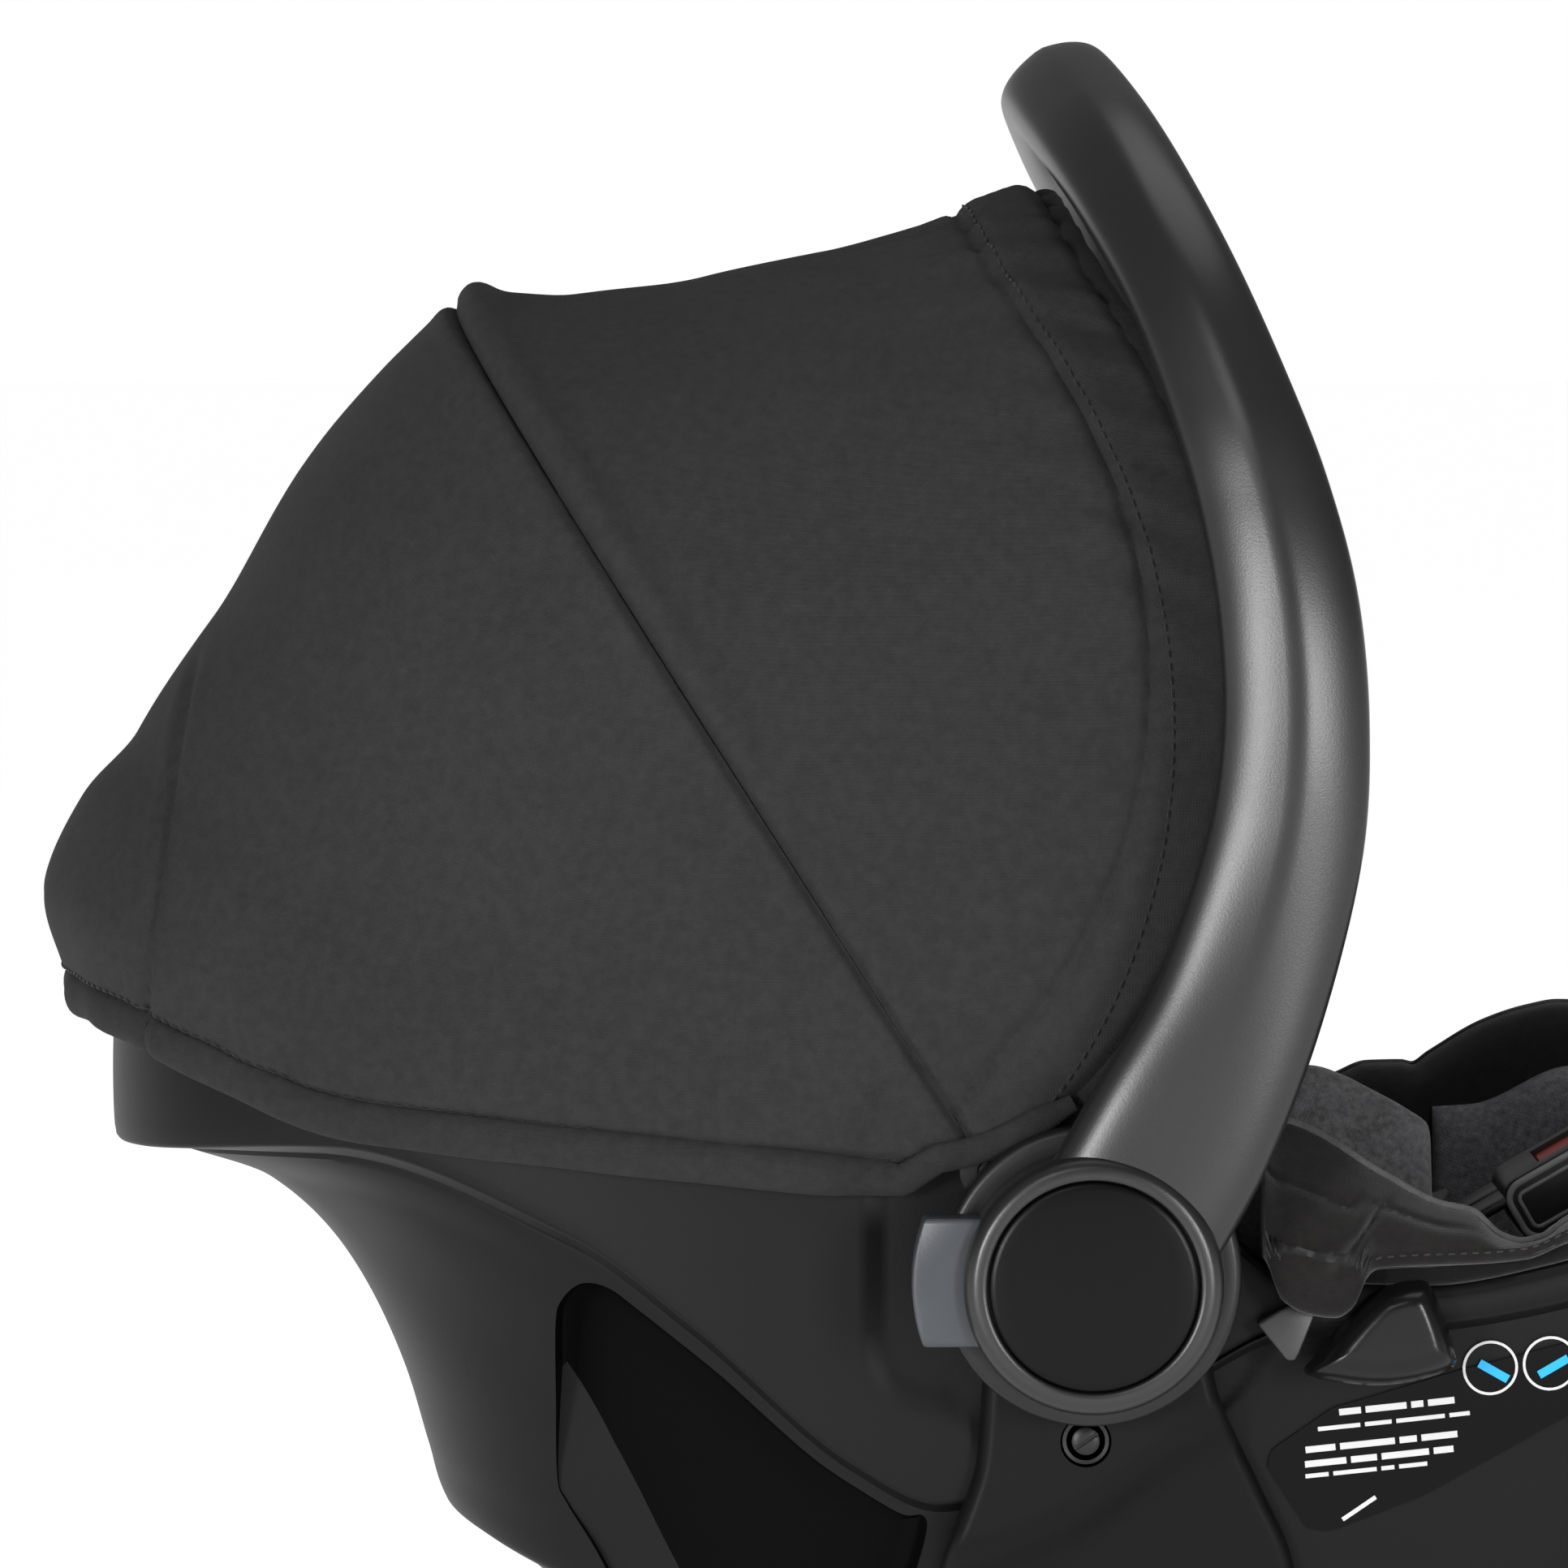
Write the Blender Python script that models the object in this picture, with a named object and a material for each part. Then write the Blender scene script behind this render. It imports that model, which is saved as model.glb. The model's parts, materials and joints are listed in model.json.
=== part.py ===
"""Infant car seat: carrier shell with rocker rails, turning handle, folding canopy, pads and harness.

Frame: +X towards the foot end, +Y the child's left, +Z up; the origin is on the floor under the middle of the box.
"right" pieces are on the -Y side and "left" pieces on the +Y side.
"""
import math

import bmesh
import bpy
from mathutils import Matrix, Vector

# ---- driving dimensions, metres ----
GAP = 0.0003                      # clearance between touching solids
HUB_X, HUB_Z = -0.011, 0.225      # handle axis
HUB_FACE = 0.2225                 # half of the overall width
HUB_R = 0.038
HUB_IN = 0.1970                   # inner face of the handle's hub disc
PIVOT_X, PIVOT_Z = HUB_X - 0.030, HUB_Z + 0.030   # canopy axis
RIM_HALF = 0.176                  # half width of the shell at its rim
RIM_BACK, RIM_FRONT, RIM_MID = -0.311, 0.32526, 0.03
RIM_TOP = 0.010                   # width of the rim's top face
WALL = 0.004
LINER_T, PAD_T, INSERT_T = 0.008, 0.016, 0.022
CANOPY_T = 0.002
CANOPY_HALF = 0.1878
BUCKLE_X, BUCKLE_Z = 0.145, 0.225
STRAP_T = 0.0016
SIDES = {"right": -1, "left": 1}

# ---- profiles: x against z, hand-chosen points joined by a smooth curve ----
RIM_Z = [(-0.311, 0.293), (-0.20, 0.287), (-0.06, 0.272), (0.0, 0.262), (0.028, 0.238), (0.05, 0.222),
         (0.09, 0.220), (0.126, 0.226), (0.20, 0.252), (0.28, 0.281), (0.334, 0.292)]
CREASE_Z = [(-0.311, 0.2515), (-0.2375, 0.258), (-0.165, 0.233), (-0.129, 0.207), (-0.081, 0.166),
            (-0.055, 0.154), (-0.02, 0.165), (0.02, 0.192), (0.05, 0.206), (0.09, 0.208), (0.126, 0.2135),
            (0.20, 0.239), (0.28, 0.268), (0.334, 0.279)]
BOWL_Z = [(-0.30, 0.283), (-0.265, 0.258), (-0.22, 0.224), (-0.17, 0.188), (-0.10, 0.148), (0.0, 0.117),
          (0.06, 0.108), (0.12, 0.115), (0.20, 0.158), (0.27, 0.226), (0.324, 0.281)]
BACK_X = [(0.0, -0.150), (0.06, -0.153), (0.110, -0.170), (0.1175, -0.1775), (0.1257, -0.191), (0.130, -0.2085),
          (0.145, -0.2135), (0.170, -0.2211), (0.206, -0.2391), (0.234, -0.2648), (0.247, -0.2905)]
FRONT_X = [(0.0, 0.180), (0.06, 0.195), (0.12, 0.218), (0.17, 0.243), (0.22, 0.277), (0.255, 0.309), (0.28, 0.321)]
SIDE_Y = [(0.0, 0.146), (0.08, 0.150), (0.15, 0.160), (0.20, 0.167), (0.28, 0.170)]


def curve(points, x):
    """Smooth monotone interpolation through hand-chosen points."""
    if x <= points[0][0]:
        return points[0][1]
    if x >= points[-1][0]:
        return points[-1][1]
    i = max(k for k in range(len(points) - 1) if points[k][0] <= x)
    slopes = [(b[1] - a[1]) / (b[0] - a[0]) for a, b in zip(points, points[1:])]

    def tangent(k):
        if k == 0 or k == len(points) - 1:
            return slopes[min(k, len(slopes) - 1)]
        a, b = slopes[k - 1], slopes[k]
        return 0.0 if a * b <= 0 else 2 * a * b / (a + b)

    (x0, y0), (x1, y1) = points[i], points[i + 1]
    h = x1 - x0
    t = (x - x0) / h
    return (y0 * (1 + 2 * t) * (1 - t) ** 2 + tangent(i) * h * t * (1 - t) ** 2
            + y1 * t * t * (3 - 2 * t) + tangent(i + 1) * h * t * t * (t - 1))


def power(value, exponent):
    return math.copysign(abs(value) ** exponent, value)


def lerp(a, b, t):
    return a + (b - a) * t


# ---- materials ----
def material(name, color, rough, metallic=0.0):
    made = bpy.data.materials.get(name)
    if made is None:
        made = bpy.data.materials.new(name)
        made.use_nodes = True
        shader = made.node_tree.nodes["Principled BSDF"]
        shader.inputs["Base Color"].default_value = (*color, 1)
        shader.inputs["Roughness"].default_value = rough
        shader.inputs["Metallic"].default_value = metallic
    return made


SHELL = ("shell_plastic", (0.028, 0.028, 0.030), 0.55)
HANDLE = ("handle_plastic", (0.045, 0.045, 0.047), 0.38)
TRIM = ("trim_plastic", (0.022, 0.022, 0.024), 0.45)
BUTTON = ("button_plastic", (0.17, 0.20, 0.23), 0.40)
RED = ("release_red", (0.55, 0.03, 0.03), 0.40)
CLOTH = ("canopy_fabric", (0.030, 0.030, 0.031), 0.90)
BLACK = ("black_fabric", (0.012, 0.011, 0.011), 0.90)
GREY = ("grey_fabric", (0.050, 0.050, 0.053), 0.92)
WEB = ("webbing", (0.020, 0.020, 0.021), 0.80)
FOAM = ("foam", (0.60, 0.60, 0.60), 0.90)
LABEL = ("panel_black", (0.008, 0.008, 0.008), 0.30)
STEEL = ("steel", (0.55, 0.55, 0.56), 0.35, 1.0)


# ---- mesh helpers ----
def solid(name, verts, faces, look):
    mesh = bpy.data.meshes.new(name)
    mesh.from_pydata([tuple(v) for v in verts], [], faces)
    bm = bmesh.new()
    bm.from_mesh(mesh)
    bmesh.ops.recalc_face_normals(bm, faces=bm.faces)
    bm.to_mesh(mesh)
    bm.free()
    mesh.materials.append(material(*look))
    mesh.shade_smooth()
    mesh.set_sharp_from_angle(angle=math.radians(35))
    made = bpy.data.objects.new(name, mesh)
    bpy.context.scene.collection.objects.link(made)
    return made


def split(verts, a, b, c, d):
    """A quad as two triangles, cut along its shorter diagonal."""
    if math.dist(verts[a], verts[c]) < math.dist(verts[b], verts[d]) - 1e-7:
        return [(a, b, c), (a, c, d)]
    return [(a, b, d), (b, c, d)]


def stack(name, loops, look, fan=False):
    """A closed solid from a stack of point loops; the ends are flat faces, or fans about their middle."""
    count = len(loops[0])
    verts = [v for loop in loops for v in loop]
    faces = []
    for k in range(len(loops) - 1):
        for i in range(count):
            j = (i + 1) % count
            faces += split(verts, k * count + i, k * count + j, (k + 1) * count + j, (k + 1) * count + i)
    for first in (0, (len(loops) - 1) * count):
        ring = list(range(first, first + count))
        if fan:
            verts.append(sum((Vector(verts[i]) for i in ring), Vector()) / count)
            faces += [(ring[i], ring[(i + 1) % count], len(verts) - 1) for i in range(count)]
        else:
            faces.append(tuple(ring))
    return solid(name, verts, faces, look)


def slab(name, top, bottom, look):
    """A closed solid between two grids of points, given as rows."""
    rows, cols = len(top), len(top[0])
    verts = [p for row in top for p in row] + [p for row in bottom for p in row]
    under = rows * cols
    faces = []
    for r in range(rows - 1):
        for c in range(cols - 1):
            a, b = r * cols + c, (r + 1) * cols + c
            faces += split(verts, a, a + 1, b + 1, b)
            faces += split(verts, under + a, under + b, under + b + 1, under + a + 1)
    edge = ([c for c in range(cols - 1)] + [r * cols + cols - 1 for r in range(rows - 1)]
            + [(rows - 1) * cols + c for c in range(cols - 1, 0, -1)] + [r * cols for r in range(rows - 1, 0, -1)])
    for a, b in zip(edge, edge[1:] + edge[:1]):
        faces.append((a, b, under + b, under + a))
    return solid(name, verts, faces, look)


def turned(name, x, z, side, profile, look, count=28):
    """A solid turned about an axis along Y through (x, z); the profile is (radius, distance from the middle)."""
    loops = [[(x + r * math.cos(a), side * y, z + r * math.sin(a))
              for a in (2 * math.pi * i / count for i in range(count))] for r, y in profile]
    return stack(name, loops, look)


def plate(name, outline, side, y0, y1, look):
    """A flat plate across Y from an outline of (x, z) points."""
    return stack(name, [[(x, side * y, z) for x, z in outline] for y in (y0, y1)], look)


def block(name, centre, size, look, pitch=0.0, round_off=0.25):
    """A block with chamfered long edges, tilted by pitch about Y."""
    cx, cy, cz = centre
    a, b, c = (s / 2 for s in size)
    cut = min(a, c) * round_off
    outline = [(-a + cut, -c), (a - cut, -c), (a, -c + cut), (a, c - cut), (a - cut, c), (-a + cut, c),
               (-a, c - cut), (-a, -c + cut)]
    turn = [(x * math.cos(pitch) - z * math.sin(pitch), x * math.sin(pitch) + z * math.cos(pitch))
            for x, z in outline]
    return stack(name, [[(cx + x, cy + y, cz + z) for x, z in turn] for y in (-b, b)], look)


def combine(target, tools, operation):
    """Applies Boolean tools to target and removes them."""
    for tool in tools:
        change = target.modifiers.new("Boolean", "BOOLEAN")
        change.operation = operation
        change.solver = "EXACT"
        change.object = tool
        depsgraph = bpy.context.evaluated_depsgraph_get()
        mesh = bpy.data.meshes.new_from_object(target.evaluated_get(depsgraph))
        target.modifiers.clear()
        target.data = mesh
        bpy.data.objects.remove(tool)
    target.data.shade_smooth()
    target.data.set_sharp_from_angle(angle=math.radians(35))
    return target


# ---- carrier shell ----
N_BACK, N_FRONT = 3.4, 3.0
RIM_IN = (RIM_BACK + RIM_TOP, RIM_FRONT - RIM_TOP, RIM_HALF - RIM_TOP)
AROUND = 56
BOWL_STEPS = (0.22, 0.45, 0.68, 0.84, 0.93)   # shares of the rim's outline where the bowl has a ring of points


def resample(points, count, closed):
    """Evenly spaced points along a dense polyline."""
    if closed:
        points = points + points[:1]
    far = [0.0]
    for a, b in zip(points, points[1:]):
        far.append(far[-1] + math.dist(a, b))
    out, k = [], 0
    for i in range(count):
        goal = far[-1] * i / (count if closed else count - 1)
        while k < len(far) - 2 and far[k + 1] < goal:
            k += 1
        t = (goal - far[k]) / (far[k + 1] - far[k])
        out.append(tuple(lerp(p, q, t) for p, q in zip(points[k], points[k + 1])))
    return out


def outline(back, front, half, count=AROUND):
    """Plan outline: a rounded rectangle of evenly spaced (x, y) points, from the middle of the foot end."""
    dense = []
    for i in range(count * 12):
        a = 2 * math.pi * i / (count * 12)
        c, s = math.cos(a), math.sin(a)
        n = N_FRONT if c > 0 else N_BACK
        reach = front - RIM_MID if c > 0 else RIM_MID - back
        dense.append((RIM_MID + reach * power(c, 2 / n), half * power(s, 2 / n)))
    return resample(dense, count, True)


def rocker_z(x):
    """Lower edge of the skirt: flat in the middle, curving up towards both ends."""
    return max(0.0, abs(x) - 0.08) ** 2 / 0.9


def lower_wall(f, inset=0.0):
    """Back, front and half width of the wall below the crease; f runs from 0 at the crease to 1 at the floor."""
    return (curve(BACK_X, lerp(0.2485, 0.0, f)) + inset, curve(FRONT_X, lerp(0.276, 0.0, f)) - inset,
            curve(SIDE_Y, lerp(0.20, 0.0, f)) - inset)


def wall_loop(f, inset=0.0):
    return [(x, y, lerp(curve(CREASE_Z, x) - 0.003, rocker_z(x), f))
            for x, y in outline(*lower_wall(f, inset))]


def bowl_share(x, y):
    """How far a point lies from the bowl's middle towards its rim, from 0 to 1."""
    n = N_FRONT if x > RIM_MID else N_BACK
    reach = RIM_IN[1] - RIM_MID if x > RIM_MID else RIM_MID - RIM_IN[0]
    return (abs((x - RIM_MID) / reach) ** n + abs(y / RIM_IN[2]) ** n) ** (1 / n)


def bowl_z(x, y):
    """Height of the shell's seating surface."""
    return lerp(curve(BOWL_Z, x), curve(RIM_Z, x), min(1.0, bowl_share(x, y)) ** 5)


def seat_z(x, y):
    """Height of the bowl's flat facets, which span between its rings of points and lie above bowl_z."""
    share = bowl_share(x, y)
    steps = (0.0,) + BOWL_STEPS + (1.0,)
    k = max(i for i in range(len(steps) - 1) if steps[i] <= share)
    ends = []
    for step in steps[k:k + 2]:
        t = step / share if share > 0 else 0.0
        ends.append(bowl_z(lerp(RIM_MID, x, t), y * t))
    return lerp(ends[0], ends[1], (share - steps[k]) / (steps[k + 1] - steps[k])) + 0.0015


def bowl_loop(s, lift=0.0, count=AROUND):
    shrunk = [(lerp(RIM_MID, x, s), y * s) for x, y in outline(*RIM_IN, count)]
    return [(x, y, bowl_z(x, y) + lift) for x, y in shrunk]


def make_shell():
    rim = outline(RIM_BACK, RIM_FRONT, RIM_HALF)
    edge = outline(RIM_BACK + 0.002, RIM_FRONT - 0.002, RIM_HALF - 0.002)
    loops = [bowl_loop(s) for s in BOWL_STEPS + (0.97, 1.0)]
    loops.append([(x, y, curve(RIM_Z, x)) for x, y in edge])
    loops.append([(x, y, curve(RIM_Z, x) - 0.002) for x, y in rim])
    loops.append([(x, y, curve(CREASE_Z, x)) for x, y in rim])
    loops += [wall_loop(f) for f in (0.0, 0.058, 0.171, 0.316, 0.416, 0.473, 0.493, 0.527, 0.557, 0.759, 1.0)]
    loops += [wall_loop(f, inset) for f, inset in ((1.0, WALL), (0.759, 0.010), (0.557, 0.014), (0.30, 0.014))]
    loops += [bowl_loop(s, -WALL) for s in (0.84, 0.68, 0.45, 0.22)]
    return stack("carrier_shell", loops, SHELL, fan=True)


def shell_y(x, z):
    """Distance of the shell's side wall from the middle plane, below the crease."""
    top, low = curve(CREASE_Z, x) - 0.003, rocker_z(x)
    f = min(1.0, max(0.0, (top - z) / (top - low)))
    back, front, half = lower_wall(f)
    n = N_FRONT if x > RIM_MID else N_BACK
    reach = front - RIM_MID if x > RIM_MID else RIM_MID - back
    return half * max(0.0, 1 - abs((x - RIM_MID) / reach) ** n) ** (1 / n)


def pillar_y(x, z):
    """Back face of a side pillar: on the lower wall at the foot, flat beside the hub."""
    t = min(1.0, max(0.0, (z - curve(CREASE_Z, x) + 0.030) / 0.022))
    return lerp(shell_y(x, z) + 0.0015, RIM_HALF + 0.0015, t * t * (3 - 2 * t))


def make_side_pillar(side_name):
    """Raised panel under the hub, spreading towards the floor, with a round hole for its push rivet."""
    side = SIDES[side_name]
    rows = []
    for k in range(9):
        z = lerp(0.035, 0.1985, k / 8)
        left = HUB_X - curve([(0.035, 0.062), (0.138, 0.043), (0.17, 0.033), (0.20, 0.031)], z)
        right = HUB_X + curve([(0.035, 0.082), (0.138, 0.061), (0.158, 0.052), (0.19, 0.038), (0.20, 0.036)], z)
        rows.append([(lerp(left, right, c / 8), z) for c in range(9)])
    inner = [[(x, side * pillar_y(x, z), z) for x, z in row] for row in rows]
    outer = [[(x, side * (pillar_y(x, z) + 0.006), z) for x, z in row] for row in rows]
    pillar = slab(f"side_pillar_{side_name}", outer, inner, SHELL)
    hole = turned("rivet_hole", HUB_X - 0.001, HUB_Z - 0.0505, side, [(0.0072, 0.160), (0.0072, 0.195)], SHELL, 20)
    combine(pillar, [hole], "DIFFERENCE")
    turned(f"push_rivet_{side_name}", HUB_X - 0.001, HUB_Z - 0.0505, side,
           [(0.0066, 0.1790), (0.0066, 0.1822), (0.0055, 0.1830), (0.002, 0.1830)], TRIM, 20)


def make_belt_parts(side_name):
    """Belt guide and cover clip under the rim, and the smooth panel that marks the belt's path."""
    side = SIDES[side_name]
    y = RIM_HALF + GAP
    guide = [(0.048 + 0.025 * (1 - math.cos(math.pi * i / 10)), 0.2105 - 0.0125 * math.sin(math.pi * i / 10))
             for i in range(11)]
    low = [(x, z - 0.001) for x, z in guide] + [(0.096, 0.2122), (0.050, 0.2122)]
    swell = [(lerp(0.073, x, 0.86), lerp(0.212, z, 0.86)) for x, z in low]
    stack(f"belt_guide_{side_name}", [[(x, side * yy, z) for x, z in ring] for ring, yy in
                                      ((low, y), (low, y + 0.010), (swell, y + 0.0165))], TRIM)
    clip = [(0.0360, 0.2110), (0.0385, 0.2010), (0.0440, 0.2000), (0.0458, 0.2130)]
    plate(f"cover_clip_{side_name}", clip, side, y, y + 0.007, TRIM)
    rows = []
    for k in range(5):
        v = k / 4
        low_edge = [(0.058, 0.144), (0.090, 0.155), (0.131, 0.178), (0.165, 0.193), (0.183, 0.203)]
        high_edge = [(0.042, 0.168), (0.063, 0.184), (0.100, 0.193), (0.140, 0.203), (0.183, 0.219)]
        rows.append([(lerp(a[0], b[0], v), lerp(a[1], b[1], v)) for a, b in zip(low_edge, high_edge)])
    outer = [[(x, side * (shell_y(x, z) + 0.0022), z) for x, z in row] for row in rows]
    inner = [[(x, side * (shell_y(x, z) + 0.0012), z) for x, z in row] for row in rows]
    slab(f"belt_panel_{side_name}", outer, inner, LABEL)


def make_pivot_housing(side_name):
    """Fixed disc that carries the handle, with its bolt as a separate piece."""
    side = SIDES[side_name]
    turned(f"pivot_housing_{side_name}", HUB_X, HUB_Z, side,
           [(0.022, RIM_HALF + GAP), (0.022, 0.1862), (0.0445, 0.1862), (0.0445, 0.1945), (0.0430, 0.1962)],
           TRIM, 36)
    turned(f"pivot_bolt_{side_name}", HUB_X, HUB_Z, side,
           [(0.0060, 0.1965), (0.0060, 0.2105), (0.0120, 0.2105), (0.0120, 0.2150), (0.010, 0.2160)], STEEL, 24)
    turned(f"canopy_bracket_{side_name}", PIVOT_X, PIVOT_Z, side,
           [(0.0065, RIM_HALF + GAP), (0.0065, 0.1784), (0.0030, 0.1784), (0.0030, 0.1855)], TRIM, 20)


# ---- soft parts ----
def dish(name, low, high, look):
    """A soft layer that lies in the shell's bowl, between two heights above it."""
    loops = [bowl_loop(s, low) for s in BOWL_STEPS] + [bowl_loop(s, high) for s in reversed(BOWL_STEPS)]
    return stack(name, loops, look, fan=True)


PAD_TOP = LINER_T + PAD_T + 0.0010
INSERT_TOP = PAD_TOP + INSERT_T
WING_TOP = [(-0.030, 0.262), (0.020, 0.279), (0.050, 0.282), (0.0965, 0.262)]
COVER_TOP = {  # height of the cover's rolled edge above the rim; it stands higher on the left
    "right": [(0.052, 0.040), (0.070, 0.034), (0.0958, 0.021), (0.114, 0.0135), (0.20, 0.0135)],
    "left": [(0.052, 0.040), (0.070, 0.034), (0.095, 0.030), (0.163, 0.034), (0.220, 0.026), (0.300, 0.0135)]}


def cushion(name, x0, x1, y0, y1, thick, look, lift=PAD_TOP, rows=7, cols=7):
    """A crowned cushion over a rectangle of the pad, thin at its edges and thick in its middle."""
    top, low = [], []
    for i in range(rows):
        a = i / (rows - 1)
        for_top, for_low = [], []
        for j in range(cols):
            b = j / (cols - 1)
            x, y = lerp(x0, x1, a), lerp(y0, y1, b)
            crown = (1 - abs(2 * a - 1) ** 4) * (1 - abs(2 * b - 1) ** 4)
            base = seat_z(x, y) + lift + 0.0015
            for_low.append((x, y, base))
            for_top.append((x, y, base + 0.004 + (thick - 0.004) * crown))
        top.append(for_top)
        low.append(for_low)
    return slab(name, top, low, look)


def make_side_bolster(name, side):
    """Upright wing of the insert beside the child's hips; its top slopes down towards the feet."""
    top, low = [], []
    for i in range(9):
        x = lerp(-0.030, 0.0965, i / 8)
        for_top, for_low = [], []
        for j in range(7):
            b = j / 6
            y = side * lerp(0.112, 0.150, b)
            for_low.append((x, y, seat_z(x, y) + PAD_TOP + 0.0015))
            for_top.append((x, y, curve(WING_TOP, x) - 0.006 * abs(2 * b - 1) ** 3))
        top.append(for_top)
        low.append(for_low)
    return slab(name, top, low, GREY)


def make_rim_cover():
    """Rolled edge of the seat cover over the rim, from beside one hub round the foot end to the other."""
    section = [(0.0006, -0.006), (0.0036, -0.007), (0.0065, 0.003), (0.003, 0.012), (-0.010, 0.0135),
               (-0.0205, 0.006), (-0.0205, -0.004), (-0.0125, 0.0008), (0.0006, 0.0008)]
    rim = outline(RIM_BACK, RIM_FRONT, RIM_HALF)
    front = [p for p in rim[len(rim) // 2:] if p[0] > 0.052] + [p for p in rim[:len(rim) // 2] if p[0] > 0.052]
    loops = []
    for k, (x, y) in enumerate(front):
        before, after = front[max(0, k - 1)], front[min(len(front) - 1, k + 1)]
        along = Vector((after[0] - before[0], after[1] - before[1])).normalized()
        taller = curve(COVER_TOP["left" if y > 0 else "right"], x) / 0.0135
        loops.append([(x + along.y * r, y - along.x * r, curve(RIM_Z, x) + (dz * taller if dz > 0.004 else dz))
                      for r, dz in section])
    return stack("rim_cover", loops, BLACK)


def strap(name, path, width, look=WEB):
    """Flat webbing through (x, y, z) points, its width across the path and level."""
    top, low = [], []
    for k, p in enumerate(path):
        along = (Vector(path[min(k + 1, len(path) - 1)]) - Vector(path[max(k - 1, 0)])).normalized()
        across = along.cross(Vector((0, 0, 1))).normalized() * width / 2
        up = across.cross(along).normalized() * STRAP_T / 2
        top.append([tuple(Vector(p) + across + up), tuple(Vector(p) - across + up)])
        low.append([tuple(Vector(p) + across - up), tuple(Vector(p) - across - up)])
    return slab(name, top, low, look)


# ---- harness ----
def make_harness():
    for side_name, side in SIDES.items():
        path = []
        for k in range(9):
            x = lerp(-0.150, 0.110, k / 8)
            t = min(1.0, max(0.0, (x - 0.02) / 0.09))
            t = t * t * (3 - 2 * t)
            path.append((x, side * lerp(0.045, 0.022, t), lerp(seat_z(x, 0.045) + INSERT_TOP + 0.006, BUCKLE_Z, t)))
        strap(f"shoulder_strap_{side_name}", path, 0.036)
        lap = [(0.050, 0.080, 0.164), (0.065, 0.068, 0.180), (0.082, 0.052, 0.194), (0.102, 0.032, 0.211)]
        strap(f"lap_strap_{side_name}", [(x, side * y, z) for x, y, z in lap], 0.025)
        block(f"buckle_tongue_{side_name}", (0.1195, side * 0.0125, BUCKLE_Z - 0.001), (0.017, 0.022, 0.004), STEEL)
        clip_z = seat_z(-0.03, 0.045) + INSERT_TOP + 0.013
        block(f"chest_clip_{side_name}", (-0.030, side * 0.0265, clip_z), (0.034, 0.052, 0.007), TRIM, -0.28)
    strap("crotch_strap", [(0.113, 0, 0.1455), (0.124, 0, 0.172), (0.137, 0, 0.198), (0.149, 0, 0.2135)], 0.036)
    pressed_pair("buckle", (BUCKLE_X + 0.005, BUCKLE_Z + 0.003), (0.044, 0.048, 0.016), math.radians(30),
                 (0.017, 0.028), RED)
    pressed_pair("adjuster", (0.198, 0.2090), (0.046, 0.042, 0.014), math.radians(42), (0.022, 0.024), BUTTON)
    strap("adjuster_strap", [(x, 0, seat_z(x, 0) + PAD_TOP + 0.0075) for x in (0.226, 0.245, 0.265, 0.285)], 0.025)


def pressed_pair(name, centre, size, pitch, button, button_look):
    """A housing with a pocket in its top face, and the push button that travels in it."""
    cx, cz = centre
    half = size[2] / 2
    nx, nz = -math.sin(pitch), math.cos(pitch)
    body = block(f"{name}_body", (cx, 0, cz), size, TRIM, pitch)
    pocket = block("pocket", (cx + nx * half, 0, cz + nz * half), (button[0] + 0.001, button[1] + 0.001, 0.015),
                   TRIM, pitch, 0.02)
    combine(body, [pocket], "DIFFERENCE")
    lift = half - 0.0010
    block(f"{name}_button", (cx + nx * lift, 0, cz + nz * lift), (button[0], button[1], 0.005), button_look, pitch)


# ---- base release at the back, and the hooks it draws ----
RELEASE_PITCH = math.atan2(0.018, 0.036)


def make_base_release(shell):
    c, s = math.cos(RELEASE_PITCH), math.sin(RELEASE_PITCH)
    face = (-0.2301, 0.188)
    pocket = block("pocket", (face[0] - s * 0.003, 0, face[1] + c * 0.003), (0.025, 0.082, 0.042), SHELL,
                   RELEASE_PITCH, 0.05)
    combine(shell, [pocket], "DIFFERENCE")
    block("base_release_lever", (face[0] + c * 0.0078, 0, face[1] + s * 0.0078), (0.008, 0.076, 0.034), BUTTON,
          RELEASE_PITCH)
    for side_name, side in SIDES.items():
        block(f"base_hook_{side_name}", (-0.05, side * 0.125, 0.035), (0.034, 0.012, 0.020), STEEL)


# ---- handle ----
HANDLE_PATH = [  # forward of and above the hub, distance from the middle, width in side view, thickness
    (0.0080, 0.0140, 0.2090, 0.056, 0.0220), (0.0246, 0.0435, 0.2090, 0.056, 0.0220),
    (0.0419, 0.0800, 0.2090, 0.050, 0.0220), (0.0554, 0.1260, 0.2090, 0.046, 0.0225),
    (0.0589, 0.1620, 0.2085, 0.043, 0.0230), (0.0567, 0.1970, 0.2060, 0.0415, 0.0235),
    (0.0502, 0.2280, 0.2000, 0.039, 0.0240), (0.0412, 0.2560, 0.1900, 0.0366, 0.0250),
    (0.0284, 0.2895, 0.1680, 0.0345, 0.0260), (0.0144, 0.3188, 0.1300, 0.035, 0.0270),
    (0.0033, 0.3391, 0.0800, 0.036, 0.0280), (-0.0045, 0.3527, 0.0, 0.036, 0.0280)]
HANDLE_SIDES = 12
HANDLE_STEPS = 2


def catmull(points, steps):
    out = []
    for k in range(len(points) - 1):
        p0, p1, p2 = points[max(0, k - 1)], points[k], points[k + 1]
        p3 = points[min(len(points) - 1, k + 2)]
        for i in range(steps):
            t = i / steps
            out.append(tuple(0.5 * (2 * b + (c - a) * t + (2 * a - 5 * b + 4 * c - d) * t * t
                                    + (3 * b - a - 3 * c + d) * t ** 3) for a, b, c, d in zip(p0, p1, p2, p3)))
    return out + [points[-1]]


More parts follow.
